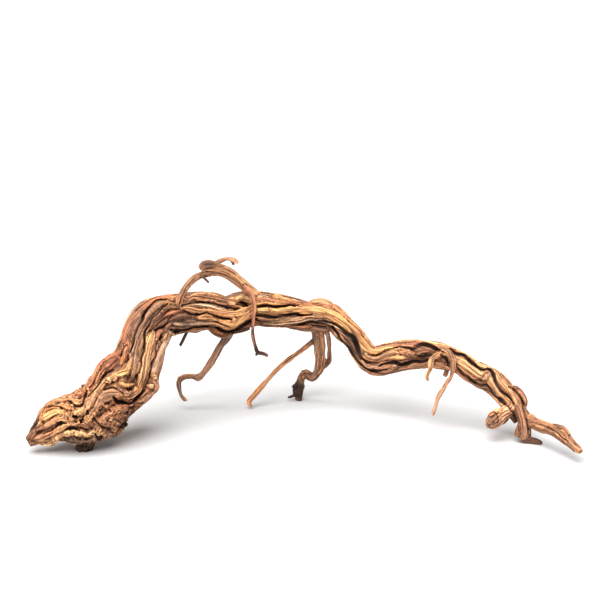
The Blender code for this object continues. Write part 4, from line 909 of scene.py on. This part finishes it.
def add_limbs():
    """Limbs that stand clear of the trunk, round and a little crooked."""
    tints = random.Random(STRAND_SEED)
    Grain.first_of_limbs = len(Grain.centres)
    for name, route in LIMBS.items():
        rows = smooth(route)
        centres = [seen(x, rise, depth) for x, rise, depth, _ in rows]
        colour = tint_colour(TINT_OF.get(name, "tan"), tints)
        number = len(Grain.centres)
        ways = directions(centres)
        outs = []
        out = ways[0].orthogonal()
        widths, heights = [], []
        stout = LIMB_STOUT.get(name, 1.0)
        for i, (way, radius) in enumerate(zip(ways, stout * rows[:, 3])):
            out = (out - way * out.dot(way)).normalized()
            outs.append(out)
            along = i * ROUTE_STEP * LIMB_CHANGE
            wide = 1 + LIMB_SWELL * noise.noise((along, number, LIMB_WIDE_SEED))
            high = 1 + LIMB_SWELL * noise.noise((along, number, LIMB_HIGH_SEED))
            widths.append(radius * wide + LIMB_BARK)
            heights.append(radius * high + LIMB_BARK)
        add_tube(name, centres, outs, widths, heights, LIMB_SIDES, colour)


def apply_modifier(thing, kind, **settings):
    """Gives the object the mesh that a modifier makes of its own."""
    modifier = thing.modifiers.new(kind, kind)
    for key, value in settings.items():
        setattr(modifier, key, value)
    graph = bpy.context.evaluated_depsgraph_get()
    old = thing.data
    thing.data = bpy.data.meshes.new_from_object(thing.evaluated_get(graph))
    thing.modifiers.clear()
    bpy.data.meshes.remove(old)


def join_pieces(thing):
    """One Boolean union of the object and every other piece, which are then removed."""
    pieces = bpy.data.collections[PIECES]
    joined = {"operation": "UNION", "operand_type": "COLLECTION", "collection": pieces}
    apply_modifier(thing, "BOOLEAN", solver="MANIFOLD", **joined)
    for piece in list(pieces.objects):
        bpy.data.objects.remove(piece)
    bpy.data.collections.remove(pieces)
    keep_outside(thing)


def keep_outside(thing):
    """Drops loose scraps, and fills sealed hollows by dropping their walls."""
    mesh = bmesh.new()
    mesh.from_mesh(thing.data)
    left = set(mesh.verts)
    shells = []
    while left:
        shell = [left.pop()]
        for vert in shell:
            for edge in vert.link_edges:
                other = edge.other_vert(vert)
                if other in left:
                    left.remove(other)
                    shell.append(other)
        shells.append(shell)
    shells.sort(key=len)
    for shell in shells[:-1]:
        bmesh.ops.delete(mesh, geom=shell, context="VERTS")
    mesh.to_mesh(thing.data)
    mesh.free()


def remesh(thing):
    """One even skin over the joined pieces."""
    apply_modifier(thing, "REMESH", mode="VOXEL", voxel_size=VOXEL * MM)
    keep_outside(thing)


def thin_out(thing):
    """Fewer triangles, most of them where the skin bends."""
    triangles = sum(len(face.vertices) - 2 for face in thing.data.polygons)
    apply_modifier(thing, "DECIMATE", ratio=TRIANGLES / triangles)


def values_of(items, key, wide, kind=np.float32):
    """A value of each of a mesh's items, as an array with a row for each."""
    values = np.empty(len(items) * wide, kind)
    items.foreach_get(key, values)
    return values.reshape(-1, wide)


def coordinates(mesh):
    """A mesh's points."""
    return values_of(mesh.vertices, "co", 3)


def normals(mesh):
    """The way out of a mesh at its points."""
    return values_of(mesh.vertex_normals, "vector", 3)


def push(mesh, ways, lengths):
    """Moves a mesh's points these ways, by lengths in millimetres."""
    moved = coordinates(mesh) + ways * (lengths[:, None] * MM)
    mesh.vertices.foreach_set("co", moved.astype(np.float32).ravel())
    mesh.update()


def spread(values, edges, rounds):
    """Values at points, each evened out with its neighbours', a number of times over."""
    count = len(values)
    ends = np.concatenate([edges[:, 0], edges[:, 1]])
    others = np.concatenate([edges[:, 1], edges[:, 0]])
    degree = np.maximum(np.bincount(ends, minlength=count), 1)
    values = values.astype(np.float64)
    for _ in range(rounds):
        for column in range(values.shape[1]):
            around = np.bincount(ends, weights=values[others, column], minlength=count) / degree
            values[:, column] = 0.5 * (values[:, column] + around)
    return values


def nearest_rings(points):
    """For each point, the number of the ring whose tube's surface is nearest."""
    tree = kdtree.KDTree(len(Grain.points))
    for number, point in enumerate(Grain.points):
        tree.insert(point, number)
    tree.balance()
    ring_of = Grain.ring_of
    find = tree.find
    return np.array([ring_of[find(point)[1]] for point in points])


def grain_at(points, rings):
    """Each point's place along and across the nearest tube, in millimetres."""
    centres = np.array(Grain.centres)[rings]
    axes = np.array([[list(axis) for axis in ring] for ring in Grain.axes])[rings]
    local = np.einsum("nij,nj->ni", axes, points - centres[:, :3]) / MM
    local[:, 0] += centres[:, 3]
    return local


def waves(places, name):
    """Noise from -1 to 1 at each place."""
    scales, seed = WAVES[name]
    shifted = places * np.array(scales) + seed
    return np.array([noise.noise(place) for place in shifted.tolist()])


def step_up(values, low, high):
    """0 below low and 1 above high, smoothly."""
    share = np.clip((values - low) / (high - low), 0, 1)
    return share * share * (3 - 2 * share)


def burl_share(points):
    """1 on the gnarled burl and 0 on the smooth trunk, with a soft edge."""
    left = step_up(-points[:, 0], -BURL_EDGE_X, BURL_EDGE - BURL_EDGE_X)
    below = step_up(-points[:, 2], -BURL_EDGE_Z, BURL_EDGE - BURL_EDGE_Z)
    return left * below


def as_seen(points):
    """Each point's x and rise in the picture plane, in millimetres."""
    full = points / MM + (CENTRE_X, CENTRE_Y, 0)
    eye, ahead, up = (np.array(vector) for vector in (EYE, AHEAD, UP))
    rays = full - eye
    share = -eye.dot(ahead) / (rays @ ahead)
    on_plane = eye + rays * share[:, None]
    return np.stack([on_plane[:, 0], on_plane @ up], 1)


def groove_depths(places, depth, route):
    """How deep a groove is at each place in the picture plane."""
    rows = smooth(route)
    reach = rows[:, 2].max()
    low, high = rows[:, :2].min(0) - reach, rows[:, :2].max(0) + reach
    close = np.flatnonzero(((places > low) & (places < high)).all(1))
    depths = np.zeros(len(places))
    gaps = np.linalg.norm(places[close, None] - rows[None, :, :2], axis=2) / rows[:, 2]
    depths[close] = depth * (1 - step_up(gaps.min(1), GROOVE_FLOOR, 1))
    return depths


def carve(mesh):
    """Sinks the grooves and pits of the near side, straight away from the viewer."""
    points = coordinates(mesh)
    ahead = np.array(AHEAD)
    facing = -normals(mesh) @ ahead
    reached = (nearest_rings(points) < Grain.first_of_limbs) | (points[:, 0] > FOOT_X)
    places = as_seen(points)
    place = points / MM
    places += GROOVE_JITTER * np.stack([waves(place, "groove_x"), waves(place, "groove_rise")], 1)
    depths = np.zeros(len(points))
    for depth, route in GROOVES.values():
        depths = np.maximum(depths, groove_depths(places, depth, route))
    depths *= 1 + GROOVE_CHANGE * waves(place, "groove_depth")
    depths *= reached * step_up(facing, 0, GROOVE_FACING)
    push(mesh, ahead, depths)
    store(mesh, "groove", "FLOAT", depths)


def shave(mesh):
    """Brings the outline in or out in a few places."""
    points = coordinates(mesh)
    places = as_seen(points)
    on_trunk = nearest_rings(points) < Grain.first_of_limbs
    height = np.zeros(len(points))
    for x, rise, radius, depth in SHAVED:
        share = np.linalg.norm(places - (x, rise), axis=1) / radius
        height -= depth * on_trunk * (1 - step_up(share, 0, 1))
    push(mesh, normals(mesh), height)


def raise_grain(mesh):
    """Fibres, wrinkles, lumps and cracks along the strands, and folds on the burl."""
    points = coordinates(mesh)
    grain = grain_at(points, nearest_rings(points))
    burl = burl_share(points)
    burl *= step_up(points[:, 0], SNOUT_EDGE_X - SNOUT_EDGE, SNOUT_EDGE_X)
    places = as_seen(points)
    for x, rise, radius in SMOOTH_SPOTS:
        burl *= step_up(np.linalg.norm(places - (x, rise), axis=1) / radius, *SMOOTH_FADE)
    lines = 1 - step_up(np.abs(waves(grain, "line")), 0.0, LINE_SHARE)
    lines *= step_up(waves(grain, "line_break"), *LINE_BREAKS)
    height = LUMP * waves(grain, "lump") + FIBRE * waves(grain, "fibre") - LINE * lines

    place = points / MM
    bends = [waves(place, name) for name in ("bend_x", "bend_y", "bend_z")]
    bent = place + FOLD_BEND * np.stack(bends, 1)
    folds = np.abs(waves(bent, "fold"))
    small = np.abs(waves(bent, "small_fold"))
    pits = step_up(waves(bent, "pit"), PIT_EDGE, PIT_EDGE + PIT_SOFT)
    gnarl = FOLD * (folds - FOLD_MIDDLE) + FOLD_SMALL * FOLD * (small - FOLD_MIDDLE) - PIT * pits
    gnarl += CRUMB * waves(place, "crumb")
    push(mesh, normals(mesh), height + burl * gnarl)


def fit_box(mesh):
    """Brings the skin just inside the solid's box, and puts its feet on the floor."""
    points = coordinates(mesh)
    points[:, 2] = np.maximum(points[:, 2], 0)
    low, high = points.min(0), points.max(0)
    cad_low, cad_high = (np.array(corner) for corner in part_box(NAME))
    share = np.minimum((cad_high - cad_low) / (high - low), 1)
    middle = (cad_high + cad_low) / 2
    was = (high + low) / 2
    was[2] = middle[2] = 0
    mesh.vertices.foreach_set("co", ((points - was) * share + middle).astype(np.float32).ravel())


def store(mesh, name, kind, values):
    """Keeps values at a mesh's points for its material."""
    attribute = mesh.attributes.new(name, kind, "POINT")
    key = "value" if kind == "FLOAT" else "vector" if kind == "FLOAT_VECTOR" else "color"
    attribute.data.foreach_set(key, np.asarray(values, np.float32).ravel())


def linear(values):
    """Screen colours as linear light."""
    values = np.asarray(values, float)
    return np.where(values <= 0.04045, values / 12.92, ((values + 0.055) / 1.055) ** 2.4)


def store_looks(mesh):
    """Grain, tint and how hollow the skin is, at each point."""
    points = coordinates(mesh)
    out = normals(mesh)
    edges = values_of(mesh.edges, "vertices", 2, np.int32)
    rings = nearest_rings(points)
    store(mesh, "grain", "FLOAT_VECTOR", grain_at(points, rings))
    tints = np.array(Grain.tints)[rings]
    facing = step_up(-out @ np.array(AHEAD), -PATCH_FACING, PATCH_FACING)
    places = as_seen(points)
    # Some dark patches are painted shade: in the crook, under the trunk and in its grooves and hollows.
    for x, rise, wide, high, tint, share in PATCHES:
        reach = np.linalg.norm((places - (x, rise)) / (wide, high), axis=1)
        shares = (share * facing * (1 - step_up(reach, *PATCH_FADE)))[:, None]
        tints = tints * (1 - shares) + shares * np.array(TINTS[tint])
    tints = spread(linear(np.clip(tints, 0, 1)), edges, TINT_ROUNDS)
    store(mesh, "tint", "FLOAT_COLOR", np.hstack([tints, np.ones((len(tints), 1))]))
    near = spread(points, edges, CREASE_ROUNDS)
    wide = spread(near, edges, HOLLOW_ROUNDS)
    crease = ((near - points) * out).sum(1)[:, None] / MM
    crease -= EVEN_CREASE * spread(crease, edges, EVEN_ROUNDS)
    store(mesh, "crease", "FLOAT", crease)
    store(mesh, "hollow", "FLOAT", ((wide - points) * out).sum(1) / MM)


def make_wood():
    """Dry red-brown wood: grain streaks, painted shade and dark wood in cracks, painted ridge
    highlights.
    """
    material = bpy.data.materials.new("driftwood")
    material.use_nodes = True
    nodes = material.node_tree.nodes
    join = material.node_tree.links.new
    shader = nodes["Principled BSDF"]

    def made(kind, output, inputs, **settings):
        """A new node's output, with its settings made and its inputs set or joined."""
        node = nodes.new("ShaderNode" + kind)
        for key, value in settings.items():
            setattr(node, key, value)
        for socket, value in inputs.items():
            if isinstance(value, bpy.types.NodeSocket):
                join(value, node.inputs[socket])
            else:
                node.inputs[socket].default_value = value
        return node.outputs[output]

    def noise_at(vector, scale, detail, roughness):
        inputs = {"Vector": vector, "Scale": scale, "Detail": detail, "Roughness": roughness}
        return made("TexNoise", "Fac", inputs)

    def ranged(value, low, high, first=0.0, last=1.0):
        inputs = {"From Min": low, "From Max": high, "To Min": first, "To Max": last}
        return made("MapRange", "Result", {"Value": value, **inputs}, interpolation_type="SMOOTHSTEP")

    def maths(operation, *values):
        return made("Math", 0, dict(enumerate(values)), operation=operation)

    def laid_on(colour, share, blend, shade):
        if blend == "MIX":
            shade = linear(shade)
        settings = {"data_type": "RGBA", "blend_type": blend}
        inputs = {0: share, 6: colour, 7: (*shade, 1)}
        return made("Mix", 2, inputs, clamp_factor=True, clamp_result=True, **settings)

    guides = {name: made("Attribute", "Fac", {}, attribute_name=name) for name in PAINTED_SHADE_AND_STAIN}
    grain = made("Attribute", "Vector", {}, attribute_name="grain")
    for name, (along, across, detail, roughness) in WOOD_NOISE.items():
        stretched = made("Mapping", "Vector", {"Vector": grain, "Scale": (along, across, across)})
        guides[name] = noise_at(stretched, 1, detail, roughness)
    place = made("TexCoord", "Object", {})
    guides["patches"] = noise_at(place, PATCHES_SCALE, PATCHES_DETAIL, PATCHES_ROUGHNESS)

    colour = made("Attribute", "Color", {}, attribute_name="tint")
    for guide, low, high, share, blend, shade in SHADES:
        colour = laid_on(colour, ranged(guides[guide], low, high, 0, share), blend, shade)
    # Painted shade, with some darker wood in the cracks: creases, hollows and grooves darken the tint.
    dark = 0
    for name, (low, high, share) in PAINTED_SHADE_AND_STAIN.items():
        dark = maths("MAXIMUM", dark, ranged(guides[name], low, high, 0, share))
    colour = laid_on(colour, maths("MULTIPLY", dark, PAINTED_SHADE_AND_STAIN_SHARE), "MIX", PAINTED_SHADE_AND_STAIN_COLOUR)
    join(colour, shader.inputs["Base Color"])
    join(ranged(guides["fibres"], *ROUGH_FIBRES), shader.inputs["Roughness"])
    shader.inputs["Specular IOR Level"].default_value = SHINE

    ground = maths("SUBTRACT", maths("MULTIPLY", guides["fibres"], BUMP_FIBRES), guides["streaks"])
    height = maths("SUBTRACT", ground, ranged(guides["lines"], *BUMP_LINES))
    bump = {"Strength": BUMP_STRENGTH, "Distance": BUMP_DISTANCE, "Height": height}
    join(made("Bump", "Normal", bump), shader.inputs["Normal"])
    return material


def show(thing):
    """Puts an object in the scene."""
    bpy.context.scene.collection.objects.link(thing)


def make_driftwood():
    """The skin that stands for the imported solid."""
    pieces = bpy.data.collections.new(PIECES)
    bpy.context.scene.collection.children.link(pieces)
    add_core()
    add_near_strands()
    add_far_strands()
    add_knots()
    add_limbs()
    driftwood = pieces.objects["core"]
    pieces.objects.unlink(driftwood)
    show(driftwood)
    driftwood.name = "driftwood_skin"
    join_pieces(driftwood)
    remesh(driftwood)
    shave(driftwood.data)
    raise_grain(driftwood.data)
    carve(driftwood.data)
    thin_out(driftwood)
    fit_box(driftwood.data)
    store_looks(driftwood.data)
    driftwood.data.shade_smooth()
    driftwood.data.materials.clear()
    driftwood.data.materials.append(make_wood())
    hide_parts(NAME)
    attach(driftwood, "root")


def make_stage():
    """A pale floor, a white surround and soft light from above."""
    mesh = bmesh.new()
    bmesh.ops.create_grid(mesh, x_segments=1, y_segments=1, size=FLOOR_REACH)
    floor = bpy.data.objects.new("floor", bpy.data.meshes.new("floor"))
    mesh.to_mesh(floor.data)
    mesh.free()
    pale = bpy.data.materials.new("floor")
    pale.use_nodes = True
    shader = pale.node_tree.nodes["Principled BSDF"]
    shader.inputs["Base Color"].default_value = (FLOOR_PALE, FLOOR_PALE, FLOOR_PALE, 1)
    shader.inputs["Roughness"].default_value = FLOOR_ROUGHNESS
    floor.data.materials.append(pale)
    show(floor)

    world = bpy.data.worlds.new("surround")
    world.use_nodes = True
    light = world.node_tree.nodes["Background"].inputs
    light["Color"].default_value = (1, 1, 1, 1)
    light["Strength"].default_value = SURROUND_LIGHT
    bpy.context.scene.world = world

    lamp = bpy.data.lights.new("key", "SUN")
    lamp.energy = KEY_POWER
    lamp.angle = math.radians(KEY_SPAN)
    key = bpy.data.objects.new("key", lamp)
    key.rotation_euler = (-Vector(KEY_PLACE)).to_track_quat("-Z", "Y").to_euler()
    show(key)
    bpy.context.scene.view_settings.view_transform = "Standard"


def make_camera():
    """The photo's view: from the front and a little above, with a long lens."""
    lens = bpy.data.cameras.new("camera")
    lens.lens = VIEW_LENS
    lens.sensor_width = VIEW_SENSOR
    camera = bpy.data.objects.new("camera", lens)
    aim = to_frame(Vector((VIEW_CENTRE_X, 0, 0)) + UP * VIEW_CENTRE_RISE)
    camera.location = aim - AHEAD * VIEW_DISTANCE * MM
    camera.rotation_euler = AHEAD.to_track_quat("-Z", "Y").to_euler()
    show(camera)
    bpy.context.scene.camera = camera


make_driftwood()
make_stage()
make_camera()
